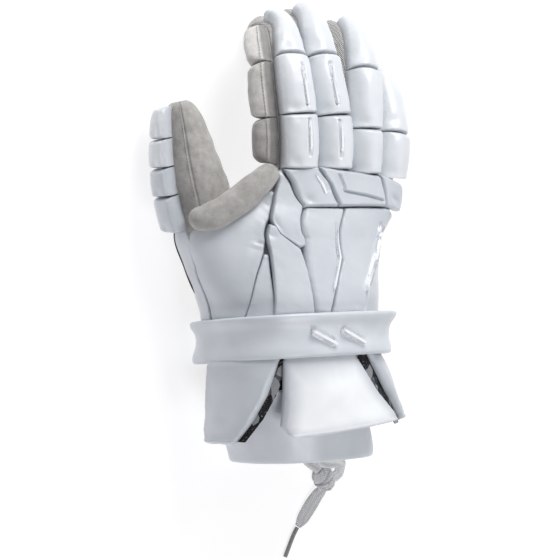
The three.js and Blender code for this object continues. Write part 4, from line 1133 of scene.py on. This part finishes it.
SHAPES = {
    "back_pad_triangle": dict(side=(2.6, 2.4), end=(4, 3), edge=0.58,
                              dents=[(-0.7, 0.35, 4.0, 1.0)]),
    "back_pad_lower_left": dict(side=(1.6, 2.2), end=(2.6, 4), edge=0.6,
                                dents=[(-0.6, -0.75, 4.0, 0.8)]),
    "back_pad_centre": dict(side=(5, 2.2), end=(2.6, 4), edge=0.42,
                            grooves=[([(0.8, -0.64), (0.72, 0.02), (0.86, 0.76)], 1.9, 0.8)]),
    "back_pad_right": dict(side=(2.2, 2.6), end=(2.6, 4), edge=0.6,
                           grooves=[([(0.76, -0.7), (0.8, 0.0), (0.86, 0.74)], 1.9, 0.8)]),
    "back_edge_strip": dict(side=(2.6, 4.5), end=(2.6, 4), edge=0.5),
    "knuckle_pad_left": dict(side=(4, 2.4), end=(2.6, 2.6), edge=0.56,
                             dents=[(-0.55, 0.6, 4.0, 1.4)],
                             grooves=[([(0.8, -0.8), (0.78, 0.25)], 1.9, 1.0)]),
    "knuckle_pad_right": dict(side=(2.4, 3), end=(2.6, 2.6), edge=0.56,
                              grooves=[([(-0.55, -0.75), (-0.62, 0.35), (0.75, 0.5)], 1.5, 2.2)]),
    "knuckle_nub": dict(side=(2.4, 4), end=(2.6, 3), edge=0.5, dents=[(-0.2, 0.2, 3.5, 1.6)]),
    "side_panel": dict(side=(2.2, 1.4), end=(2.4, 4), edge=0.6, crown=0.2, ripple=0.4,
                       dents=[(0.82, -0.1, 3.0, 1.8), (0.75, 0.16, 4.0, 0.9)]),
    "side_panel_lower": dict(side=(1.3, 1.6), end=(2, 4), edge=0.6),
    "thumb_side_strip": dict(side=(4, 2), end=(3, 4), edge=0.5),
}
PRESSED_SEAM = -0.35
# The back pads take the darker leather copy: painted shade.
for number, (name, (tall, rows)) in enumerate(BACK_PADS.items()):
    small = name in ("side_panel_lower", "knuckle_nub")
    foam_pad(name, on_body(HAND, tall), rows, tall, columns=65 if small else 89,
             lines=73 if small else 105, seed=60 + number, seam=PRESSED_SEAM,
             material=PAINTED_SHADE_LEATHER, **SHAPES[name])
print("back pads:", len(BACK_PADS))

# %% [markdown]
# ## The cloth under the pads
# The hand ends in a wall of cloth at the knuckles, with one rounded opening to each finger.
# The stalls are sewn tubes: suede on the palm side, an open knit on the sides. Each is a double
# wall, down the inside from the closed end to the opening and up the outside again, so that it
# is hollow as the real one is. A number on each point tells how far it is from the nearest seam,
# and the material draws the sunken seam from it. That keeps a thin line sharp on a mesh of
# ordinary fineness.

# %% Finger stalls
STALL_WALL = 2.0
ROUND_FROM, TUBE_END, INNER_END = 5.6, 7.0, 6.8


def stall(name, columns, lines, seams, slot_of, materials):
    """A double-walled tube: inner rings from the closed end back to the opening, then outer
    rings forward again. Seams are angles at which a seam runs along the tube."""
    first = 0.45 if name == "thumb" else 0.0
    place = np.concatenate([np.linspace(first, ROUND_FROM, lines),
                            np.linspace(ROUND_FROM + 0.06, TUBE_END, lines // 3)])
    angle = np.arange(columns) * 360.0 / columns
    a, p = np.meshgrid(angle, place)
    base = finger_point(name, a, p)
    loose = waves(base, (9, 12, 15, 19, 25), 7 + len(name))
    puckers = waves(base, (5, 6.2, 7.4), 17)
    seam = np.full(a.shape, FAR_FROM_SEAM)
    radius = FINGERS[name][1][2][3]
    for at in seams:
        off = np.abs((a - at + 180) % 360 - 180)
        seam = np.minimum(seam, np.radians(off) * radius)
    grow = 0.3 * loose + 0.25 * puckers - 0.35 * np.exp(-((seam / 1.2) ** 2))
    grow = np.minimum(grow, 0.28) * np.clip((TUBE_END - p) * 2, 0, 1) - 0.05
    outer = finger_point(name, a, p, grow)
    inside = np.linspace(INNER_END, first, lines // 4)
    inner = finger_point(name, *np.meshgrid(angle, inside), -STALL_WALL)
    rings = np.concatenate([inner, outer])
    middle = (np.arange(columns) + 0.5) * 360.0 / columns
    ring_place = np.concatenate([inside, place])[:-1] + 0.01
    kinds = slot_of(*np.meshgrid(middle, ring_place))
    marks = {"seam_mm": np.concatenate([np.full(inner.shape[:2], FAR_FROM_SEAM), seam])}
    return tube_piece(name + "_cloth", rings, materials, slots=kinds, marks=marks)


ROLL_EDGE, PALM_LEFT, PALM_RIGHT = 22, 218, 322


def finger_kinds(angle, place):
    """Suede (0) on the palm side, open knit (1) on both sides and at the closed end, and white
    leather (2) under the rolls."""
    left = np.where(place > 3.3, 132, 158)
    side = (angle < ROLL_EDGE) | (angle > PALM_RIGHT) | ((angle > left) & (angle < PALM_LEFT))
    kinds = np.where((angle > ROLL_EDGE) & (angle < left), 2, 0)
    return np.where(side | (place > 5.3), 1, kinds)


def index_kinds(angle, place):
    """As the others, but the side towards the thumb is suede up to the last joint."""
    left = 118
    bare = (angle > left) & (angle < PALM_LEFT) & (place > 4.75)
    side = (angle < ROLL_EDGE) | (angle > PALM_RIGHT) | bare
    kinds = np.where((angle > ROLL_EDGE) & (angle < left), 2, 0)
    return np.where(side | (place > 5.5), 1, kinds)


INDEX_SEAM = 146
FOUR_FINGERS = ("index", "middle", "ring", "pinky")
for finger in FOUR_FINGERS:
    first_seam = INDEX_SEAM if finger == "index" else PALM_LEFT
    kinds = index_kinds if finger == "index" else finger_kinds
    cloth = stall(finger, 96, 120, (first_seam, PALM_RIGHT), kinds, [SUEDE, KNIT, LEATHER])
    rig.replaces(cloth, f"{finger}_stall")
print("finger stalls:", len(FOUR_FINGERS))


# %% The hand inside the pads, and the thumb
def cut_with(piece, cutter):
    """Take the cutter's solid out of the piece, and remove the cutter."""
    step = piece.modifiers.new("cut", "BOOLEAN")
    step.operation = "DIFFERENCE"
    step.solver = "EXACT"
    step.object = cutter
    shaped = bpy.data.meshes.new_from_object(
        piece.evaluated_get(bpy.context.evaluated_depsgraph_get()))
    piece.modifiers.clear()
    piece.data = shaped
    bpy.data.objects.remove(cutter)


def plain_solid(name, rings):
    """A closed tube of rings, for cutting."""
    return tube_piece(name, rings, [SUEDE])


HAND_WALL = 2.4
HAND_START, HAND_END = 8.0, 118.0


def hand_half(name, first, last, material):
    """Half of the hand's wall, between two angles, from the wrist to the knuckles."""
    a, y = np.meshgrid(np.linspace(first, last, 121), np.linspace(HAND_START, HAND_END, 89))
    ripple = 0.25 * waves(body_point(HAND, a, y), (14, 19, 26, 33), 5)
    points, faces = sheet_pair(body_point(HAND, a, y, ripple - 0.25),
                               body_point(HAND, a, y, -HAND_WALL))
    marks = {"seam_mm": np.full(len(points), FAR_FROM_SEAM)}
    return make_piece(name, points, faces, [material], marks=marks)


RING_SIDES = 64
around = np.arange(RING_SIDES) * 360.0 / RING_SIDES
a, p = np.meshgrid(around, np.linspace(0.0, INNER_END, 40))
thumb_space = finger_point("thumb", a, p, -STALL_WALL)
palm = hand_half("palm_cloth", 182.0, 359.8, SUEDE)
cut_with(palm, plain_solid("thumb_space", thumb_space))
# The back under the pads takes the darker leather copy: painted shade.
back = hand_half("back_cloth", 0.4, 180.0, PAINTED_SHADE_LEATHER)
cut_with(back, plain_solid("thumb_space", thumb_space))
wall_rings = np.meshgrid(around, [115.4, 117.4, HAND_END])
knuckle_wall = plain_solid("knuckle_wall_cloth", body_point(HAND, *wall_rings, -2.0))
for finger in FOUR_FINGERS:
    ring = finger_point(finger, around, np.zeros(RING_SIDES), -STALL_WALL)
    finger_space = plain_solid("finger_space", np.stack([ring - [0, 9, 0], ring + [0, 5, 0]]))
    cut_with(knuckle_wall, finger_space)
# The thumb takes the darker suede copy: painted shade.
thumb = stall("thumb", 144, 120, (126,), lambda angle, place: np.zeros(angle.shape, int),
              [PAINTED_SHADE_SUEDE])
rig.replaces(palm, "palm_suede")
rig.replaces(back, "back_shell")
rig.replaces(thumb, "thumb_stall")
print("cloth pieces:", len(palm.data.vertices), len(back.data.vertices), len(thumb.data.vertices))

# %% [markdown]
# ## The suede roll over the web
# A soft stuffed tube of suede runs from the thumb to the index finger. It is a circle carried
# along a curve, rounded off at both ends, with soft folds over it where soft suede bunches up.

# %% Web roll
WEB = [
    [-104, 84, 52, 6], [-97, 84, 57, 9], [-86, 88, 61, 10.5], [-73, 97, 65, 10.5],
    [-61, 108, 68, 10], [-52, 116, 69, 8.5], [-45, 121, 68, 6],
]
WEB_LINES, WEB_SIDES, WEB_END_LINES = 100, 56, 10


def swept(rows, lines, columns):
    """What a tube along a table of centres is made of: its rows along the route, the directions
    across and up at each, and the cosine and sine of the angles round it."""
    table = np.column_stack([np.arange(len(rows)), np.asarray(rows, float)])
    place = np.linspace(0, len(rows) - 1, lines)
    row = smooth_rows(table, place)
    ahead, behind = smooth_rows(table, place + 0.1), smooth_rows(table, place - 0.1)
    forward = unit(ahead[:, 1:4] - behind[:, 1:4])
    across = unit(np.cross(forward, [0.0, 0.0, 1.0]))
    up = unit(np.cross(across, forward))
    angle = np.radians(np.arange(columns) * 360.0 / columns)
    cosine, sine = np.cos(angle)[None, :, None], np.sin(angle)[None, :, None]
    return row, across[:, None], up[:, None], cosine, sine


row, across, up, cosine, sine = swept(WEB, WEB_LINES, WEB_SIDES)
radius = row[:, 4][:, None, None]
to_end = np.minimum(np.arange(WEB_LINES), WEB_LINES - 1 - np.arange(WEB_LINES))
ends = np.clip(to_end / WEB_END_LINES, 0, 1)
radius = radius * (0.35 + 0.65 * np.sqrt(1 - (1 - ends) ** 2))[:, None, None]
rings = row[:, None, 1:4] + across * radius * cosine + up * radius * sine
folds = 0.5 * waves(rings, (7, 9, 11, 14, 18), 91)[..., None]
out = across * cosine + up * sine
rings = rings + out * (folds - 0.3)
# The web roll takes the darker suede copy: painted shade.
web = tube_piece("web_suede_roll", rings, [PAINTED_SHADE_SUEDE])
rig.padded(web, fill=0.6)
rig.replaces(web, "web_roll")
print("web roll points:", len(web.data.vertices))

# %% [markdown]
# ## Strap, liner and sleeve
# These three go right round the wrist, so they are one closed profile carried round the arm.
# The strap is soft foam under leather with a thick rolled lip on both edges. It lies flat where
# the glove rests on it. The sleeve is a thick padded tube with a rounded mouth.


# %% Profiles carried round the wrist
def closed_curve(knots, count):
    """A smooth closed curve through the knots: each part is a cubic whose slopes at its ends
    are half the step between the neighbours on both sides."""
    knots = np.asarray(knots, float)
    t = np.linspace(0, len(knots), count, endpoint=False)
    k = t.astype(int)
    s = (t - k)[:, None]
    p0, p1, p2, p3 = (knots[(k + i) % len(knots)] for i in (-1, 0, 1, 2))
    return 0.5 * (2 * p1 + (p2 - p0) * s + (2 * p0 - 5 * p1 + 4 * p2 - p3) * s**2
                  + (3 * p1 - p0 - 3 * p2 + p3) * s**3)


WRIST_SIDES = 240


def round_the_wrist(name, table, knots, count, ripple, seed):
    """A padded tube: each (along, out) knot of the profile is carried round by the table's
    section, and nothing goes below the ground."""
    curve = closed_curve(knots, count)
    angle = np.arange(WRIST_SIDES) * 360.0 / WRIST_SIDES
    a, y = np.meshgrid(angle, curve[:, 0])
    out = np.repeat(curve[:, 1:2], WRIST_SIDES, axis=1)
    base = body_point(table, a, y, out)
    out = out + ripple * waves(base, (17, 23, 31, 43), seed)
    rings = body_point(table, a, y, out)
    rings[..., 2] = np.maximum(rings[..., 2], 0.0)
    return tube_piece(name, rings, [SOFT_LEATHER], loop=True)


STRAP_PROFILE = [
    (-15, 1.2), (-17, 4.4), (-15.8, 7.4), (-12, 7.9), (-4, 6.5), (4, 7.0), (9.4, 9.4), (12.6, 9.9),
    (14.2, 7.8), (13, 4), (6, 0.2), (-3, -0.8), (-11, 0.2),
]
strap = round_the_wrist("wrist_strap_foam", STRAP, STRAP_PROFILE, 80, 0.35, 3)
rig.padded(strap, fill=0.7)
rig.replaces(strap, "wrist_strap")

LINER_PROFILE = [
    (-39.7, -5), (-16, -4), (7.7, -0.1), (7.7, -2.3), (-16, -6.4), (-39.7, -7.3),
]
rings = np.stack([body_point(HAND, np.arange(180) * 2.0, along, out)
                  for along, out in LINER_PROFILE])
liner = tube_piece("wrist_liner_knit", rings, [LINER], loop=True)
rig.replaces(liner, "wrist_liner")

SLEEVE_PROFILE = [
    (-92, -3), (-91, -0.7), (-86, 0), (-75, 0), (-60, 0), (-45, 0), (-40.6, -0.6), (-40, -3),
    (-40.6, -5.4), (-45, -6), (-60, -6), (-75, -6), (-86, -6), (-91, -5.3),
]
sleeve = round_the_wrist("cuff_sleeve_foam", SLEEVE, SLEEVE_PROFILE, 84, 0.4, 8)
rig.padded(sleeve, fill=0.5)
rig.replaces(sleeve, "cuff_sleeve")
print("strap, liner and sleeve points:",
      [len(piece.data.vertices) for piece in (strap, liner, sleeve)])

# %% [markdown]
# ## Cuff flaps and their lining
# Three flaps flare out over the sleeve. Each is a broad foam pad with a thick rounded edge. The
# two side flaps show a strip of their printed lining along the gap.

# %% Flaps and lining strips
FLAPS = {
    "cuff_flap_left": [[-13, 190, -13, 126], [-44, 200, -40, 138], [-64, 204, -58, 150],
                       [-74, 200, -75, 164]],
    "cuff_flap_centre": [[-13, 125, -13, 73], [-44, 130, -40, 62], [-62, 133, -60, 52],
                         [-72, 128, -67, 51]],
    "cuff_flap_right": [[-13, 61, -13, -10], [-44, 48, -40, -10], [-60, 37, -58, -12],
                        [-70, 31, -69, -8]],
}
FLAP_HEIGHT = 9.0
# The centre flap takes the paler leather copy as painted light, the side flaps the darker one as painted shade.
for number, (name, rows) in enumerate(FLAPS.items()):
    foam_pad(name, on_body(CUFF, FLAP_HEIGHT), rows, FLAP_HEIGHT, columns=101, lines=89,
             side=(5, 5), end=(22, 4), edge=0.16, crown=0.34, power=2.0, depth=-0.1, ripple=0.5,
             seed=80 + number, fill=0.7, held=0.1, corner=0.1,
             material=CENTRE_FLAP_PAINTED_LIGHT_AND_SHADE if number == 1 else SIDE_FLAP_PAINTED_SHADE,
             wavy=0.05, lip=1.6)

LININGS = {
    "lining_left": [[-17, 131, -17, 121], [-44, 146, -40, 132], [-63, 158, -57, 143],
                    [-72, 170, -73, 157]],
    "lining_right": [[-17, 72, -17, 54], [-44, 63, -40, 42], [-60, 55, -58, 31],
                     [-70, 47, -69, 26]],
}
LINING_HEIGHT = 1.6
for number, (name, rows) in enumerate(LININGS.items()):
    lift = on_body(CUFF, LINING_HEIGHT)
    u, w, angle, along, half_wide, half_long = patch_frame(rows, 33, 97, lift)
    wavy = 0.15 + 0.18 * waves(lift(angle, along, np.zeros_like(u)), (5, 7, 9, 12), 95 + number)
    top = lift(angle, along, wavy)
    base = lift(angle, along, np.full_like(u, -0.55))
    points, faces = sheet_pair(top, base)
    strip = make_piece(name + "_knit", points, faces, [LINING])
    width, length = float(2 * half_wide.mean()) * MM, float(2 * half_long.mean()) * MM
    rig.sheet(strip, flat=(width, length), held="stretched", rests_on=["wrist_liner"])
    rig.replaces(strip, name)
    print(name, "in metres:", round(width, 4), round(length, 4))

# %% [markdown]
# ## Silver trims
# The bright accents are narrow blades of plastic film let into the pads. Each is a line with a
# flat top and two bevels, widest near its wrist end and pointed at the other, and stands a hair
# above the leather in its own groove.


# %% Trims in the pads and bars on the strap
BLADE_RINGS = 40


def blade(name, lift, line, width, shares, taper=(0.3, 1.0, 0.85), flat=0.55, straight=False):
    """A bevelled bar along a line of (along, angle) points. Its half width follows taper from
    the first end to the last; the flat top stands at the third share, the edges at the second.
    Flat is the top's share of the width. A straight bar doesn't follow the bend under it. The
    edges between the long faces are sharp."""
    line = np.asarray(line, float)
    t = np.linspace(0, 1, BLADE_RINGS)
    knots = np.linspace(0, 1, len(line))
    along, angle = (np.interp(t, knots, line[:, i]) for i in (0, 1))
    tracks = [lift(angle, along, np.full(BLADE_RINGS, share)) for share in (*shares, 0.0)]
    if straight:
        tracks = [track[0] + (track[-1] - track[0]) * t[:, None] for track in tracks]
    low, edge, crest, base = tracks
    ahead = unit(np.gradient(edge, axis=0))
    out = unit(crest - base)
    aside = unit(np.cross(ahead, out))
    half = width / 2 * np.interp(t, np.linspace(0, 1, len(taper)), taper)
    half = half * np.clip(np.minimum(t, 1 - t) * 12, 0.12, 1)
    side = aside * half[:, None]
    top = flat * side
    rings = np.stack([low - side, edge - side, crest - top, crest + top, edge + side, low + side],
                     axis=1)
    piece = tube_piece(name + "_film", rings, [FILM])
    ends = np.zeros(2 * len(piece.data.edges), np.int32)
    piece.data.edges.foreach_get("vertices", ends)
    ends = ends.reshape(-1, 2)
    lengthwise = np.abs(ends[:, 0] - ends[:, 1]) == rings.shape[1]
    sharp = piece.data.attributes.new("sharp_edge", "BOOLEAN", "EDGE")
    sharp.data.foreach_set("value", lengthwise)
    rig.replaces(piece, name)


TRIMS = {
    f"trim_{finger}_{number}": (on_finger(finger, ROLL_OVERHANG, ROLL_HEIGHT),
                                [(high, across), (low, across)], 3.2, (0.78, 1.0, 1.07))
    for (finger, number), (low, high, across) in ROLL_TRIMS.items()
}
TRIMS.update({
    "trim_knuckle": (on_body(HAND, 13.0), [(118.5, 122.3), (102.5, 107)], 3.6, (0.7, 1.0, 1.06)),
    "trim_back_centre": (on_body(HAND, 10.0), [(78, 89.4), (56, 85.9), (30, 92.9)], 3.0,
                         (0.66, 1.05, 1.14)),
    "trim_back_right": (on_body(HAND, 11.2), [(84, 53), (60, 52.4), (30, 64.6)], 3.0,
                        (0.66, 1.02, 1.15)),
})
for name, (lift, line, width, shares) in TRIMS.items():
    blade(name, lift, line, width, shares)
BARS = {"strap_bar_1": [(2.5, 112), (-8.5, 94)], "strap_bar_2": [(2.5, 91), (-8.5, 73)]}
for name, line in BARS.items():
    blade(name, on_body(STRAP, 3.0, 6.6), line, 6.4, (0.0, 0.5, 1.3), taper=(1.0, 1.0, 1.0),
          flat=0.3, straight=True)
print("trims:", len(TRIMS) + len(BARS))

# %% [markdown]
# ## Piping and stitches
# A dark piped cord follows the outer edge of the thumb side, and rows of stitches run beside the
# seams of the suede. A stitch is a short thread that dips in at both ends, 2.6 mm from the next.


# %% Piping and stitches
def thread_tubes(name, runs, radius, material, sides=8):
    """One mesh of many thin tubes: each run is an array of centre points, and its radius falls
    to a third at both ends."""
    points, walls, caps, first = [], [], [], 0
    angle = np.arange(sides) * 2 * math.pi / sides
    for run in runs:
        ahead = unit(np.gradient(run, axis=0))
        across = unit(np.cross(ahead, [0.31, 0.17, 0.93]))
        up = np.cross(across, ahead)
        t = np.linspace(-1, 1, len(run))
        thick = radius * (1 - 0.66 * np.abs(t) ** 8)[:, None, None]
        rings = run[:, None] + thick * (across[:, None] * np.cos(angle)[None, :, None]
                                        + up[:, None] * np.sin(angle)[None, :, None])
        walls.append(grid_quads(len(run), sides, wrap_columns=True, start=first))
        ring = np.arange(sides)
        caps.append(first + ring[::-1])
        caps.append(first + (len(run) - 1) * sides + ring)
        points.append(rings.reshape(-1, 3))
        first += len(points[-1])
    faces = [np.concatenate(walls), np.stack(caps)]
    make_piece(name, np.concatenate(points), faces, [material])
    print(name, "tubes:", len(runs))


def route(lift, line, share, count):
    """Points along a line of (along, angle) knots, at this share of the lift's height."""
    line = np.asarray(line, float)
    t, knots = np.linspace(0, 1, count), np.linspace(0, 1, len(line))
    along, angle = (np.interp(t, knots, line[:, i]) for i in (0, 1))
    return lift(angle, along, np.full(count, share))


PITCH, THREAD_RADIUS, DIP = 2.6, 0.28, 0.35
ROUTE_POINTS, STITCH_POINTS = 400, 7


def stitch_row(name, lift, line, share):
    """A row of stitches along a line, each 70 percent of the pitch long. A stitch dips in by
    the fourth power of how far a point is from its middle."""
    path = route(lift, line, share, ROUTE_POINTS)
    steps = np.concatenate([[0], np.cumsum(np.linalg.norm(np.diff(path, axis=0), axis=1))])
    inside = unit(route(lift, line, share - 0.2, ROUTE_POINTS) - path)
    runs = []
    for start in np.arange(0.5, steps[-1] - PITCH, PITCH):
        at = start + np.linspace(0, 0.7 * PITCH, STITCH_POINTS)
        run = np.stack([np.interp(at, steps, path[:, i]) for i in range(3)], axis=-1)
        sunk = np.stack([np.interp(at, steps, inside[:, i]) for i in range(3)], axis=-1)
        runs.append(run + DIP * sunk * (np.linspace(-1, 1, STITCH_POINTS) ** 4)[:, None])
    thread_tubes(name, runs, THREAD_RADIUS, THREAD)


PIPING_RADIUS = 0.9
piping = route(on_body(HAND, 6.0), [(77, 203), (56, 205), (34, 206)], 0.98, 60)
thread_tubes("thumb_side_piping", [piping], PIPING_RADIUS, LINER)
stitch_row("index_seam_stitches", INDEX_SIDE, [(0.3, 153.5), (4.7, 153.5)], 0.73)
stitch_row("thumb_seam_stitches", on_finger("thumb", 1.0, 1.0), [(1.9, 130), (6.3, 130)], 0.3)

# %% [markdown]
# ## The lace
# A flat woven lace comes out of the sleeve as two strands that meet in a knot. Below the knot
# lies one flat tail with a hard tip. It is 10.5 mm wide and the photograph shows all of it,
# so its length is what shows. It is made as flat rings carried along the route, with its ribs
# drawn from how far a point is along and around it.

# %% Lace, knot and tip
LACE_LOOP = [
    [44, -78, 30, 5, 1.6], [48, -92, 28.5, 5, 1.6], [56, -100.5, 24, 5, 1.6],
    [70, -105, 16, 5, 1.6], [84, -107, 8, 5, 1.6], [92, -110, 4.6, 4.6, 1.8],
    [91, -116.5, 4.2, 4.4, 2], [84, -120.6, 5, 4.2, 2],
]
LACE_STRAND = [
    [37, -78, 20, 5, 1.6], [41, -92, 19.5, 5, 1.6], [48, -101, 17, 5, 1.6],
    [58, -106, 12, 5, 1.6], [67.6, -111.6, 8.4, 4.6, 1.8],
]
LACE_KNOT = [
    [67.4, -112.6, 7, 5.4, 4.4], [70.4, -115.6, 7, 8, 6.2], [74.6, -120.4, 7, 9, 6.8],
    [76, -125, 6.6, 7.6, 6], [76, -127.4, 5.6, 5.6, 4.4],
]
LACE_TAIL = [
    [75.4, -128.2, 4.4, 4.6, 1.9], [71.8, -134, 3, 5.6, 1.8], [66.8, -141.8, 2.2, 6.4, 1.6],
    [60.8, -150.8, 2, 5.8, 1.5], [56.2, -157, 2, 2.6, 1.6],
]
LACE_AGLET = [[55.6, -158, 2, 1.7, 1.6], [52.4, -164, 2, 1.7, 1.6], [46, -180.5, 2, 1.6, 1.6]]


FURROW_WIDTH, FURROW_DEPTH = 0.035, 1.5
LACE_CLEARANCE = 0.05


def lace_piece(name, rows, lines, columns, material, power, ripple=0.0, wraps=()):
    """Flat rings along a route: a superellipse as wide and thick as the table says. Each wrap
    is a slanting furrow between two turns of the lace, at a share of the route."""
    row, across, up, cosine, sine = swept(rows, lines, columns)
    reach = superellipse(cosine, sine, power)
    wide, thick = row[:, 4][:, None, None], row[:, 5][:, None, None]
    rings = row[:, None, 1:4] + across * wide * reach * cosine + up * thick * reach * sine
    share = np.linspace(0, 1, lines)[:, None, None]
    for at, slant in wraps:
        furrow = np.exp(-(((share - at - slant * cosine) / FURROW_WIDTH) ** 2))
        rings = rings - FURROW_DEPTH * furrow * unit(rings - row[:, None, 1:4])
    if ripple:
        rings = rings + up * ripple * waves(rings, (6, 8, 11), 33)[..., None]
    rings[..., 2] = np.maximum(rings[..., 2], LACE_CLEARANCE)
    path = (row[:, 1:4] + [0.0, REST_SHIFT, 0.0]) * MM
    return tube_piece(name, rings, [material]), path


knot, _ = lace_piece("lace_knot_wrap", LACE_KNOT, 120, 64, LACE, 2.2, 0.4,
                     wraps=((0.34, 0.08), (0.5, 0.06), (0.8, -0.05)))
aglet, _ = lace_piece("lace_tip", LACE_AGLET, 40, 32, AGLET, 2.0)
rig.replaces(knot, "lace_knot")
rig.replaces(aglet, "lace_aglet")
loop, loop_path = lace_piece("lace_loop_band", LACE_LOOP, 160, 40, LACE, 2.8)
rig.replaces(loop, "lace_loop")
THROUGH = LACE_STRAND + [[70.4, -115.6, 7, 5, 2], [74.6, -122, 7, 5, 2]] + LACE_TAIL
strand, strand_path = lace_piece("lace_strand_and_tail", THROUGH, 240, 40, LACE, 2.8)
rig.replaces(strand, "lace_strand", "lace_tail")
for piece, path, end, others in ((loop, loop_path, "knot", [knot]),
                                 (strand, strand_path, "fitting", [knot, aglet])):
    length = float(np.sum(np.linalg.norm(np.diff(path, axis=0), axis=1)))
    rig.cord(piece, exit=path[0], length=length, diameter=0.0105, far_end=end, stiffness="limp",
            lay="loose", path=path, with_pieces=others)
    print(piece.name, "length in metres:", round(length, 3))

# %% [markdown]
# ## Floor
# A wide pale sheet stands in for the studio table. It is marked as stage, so it isn't part of
# the glove.

# %% Pale floor
FLOOR_REACH = 6.0
floor_mesh = bpy.data.meshes.new("floor")
corners = [(x * FLOOR_REACH, y * FLOOR_REACH, 0) for x, y in ((-1, -1), (1, -1), (1, 1), (-1, 1))]
floor_mesh.from_pydata(corners, [], [(0, 1, 2, 3)])
floor = bpy.data.objects.new("floor", floor_mesh)
bpy.context.scene.collection.objects.link(floor)
pale_table = start_material("pale_matt_table", {
    "Base Color": linear("#A4A4A6"), "Roughness": 0.9, "Specular IOR Level": 0.1,
    "Emission Color": linear("#FFFFFF"), "Emission Strength": 0.74})[0]
floor_mesh.materials.append(pale_table)
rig.stage(floor)

# %% Sizes, written to extents.json
new_box = [[float(value) for value in corner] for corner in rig.bounds()]
with open("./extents.json", "w") as out_file:
    json.dump({"cad": CAD_BOX, "visual": new_box}, out_file)
print("visual box in metres:", new_box)
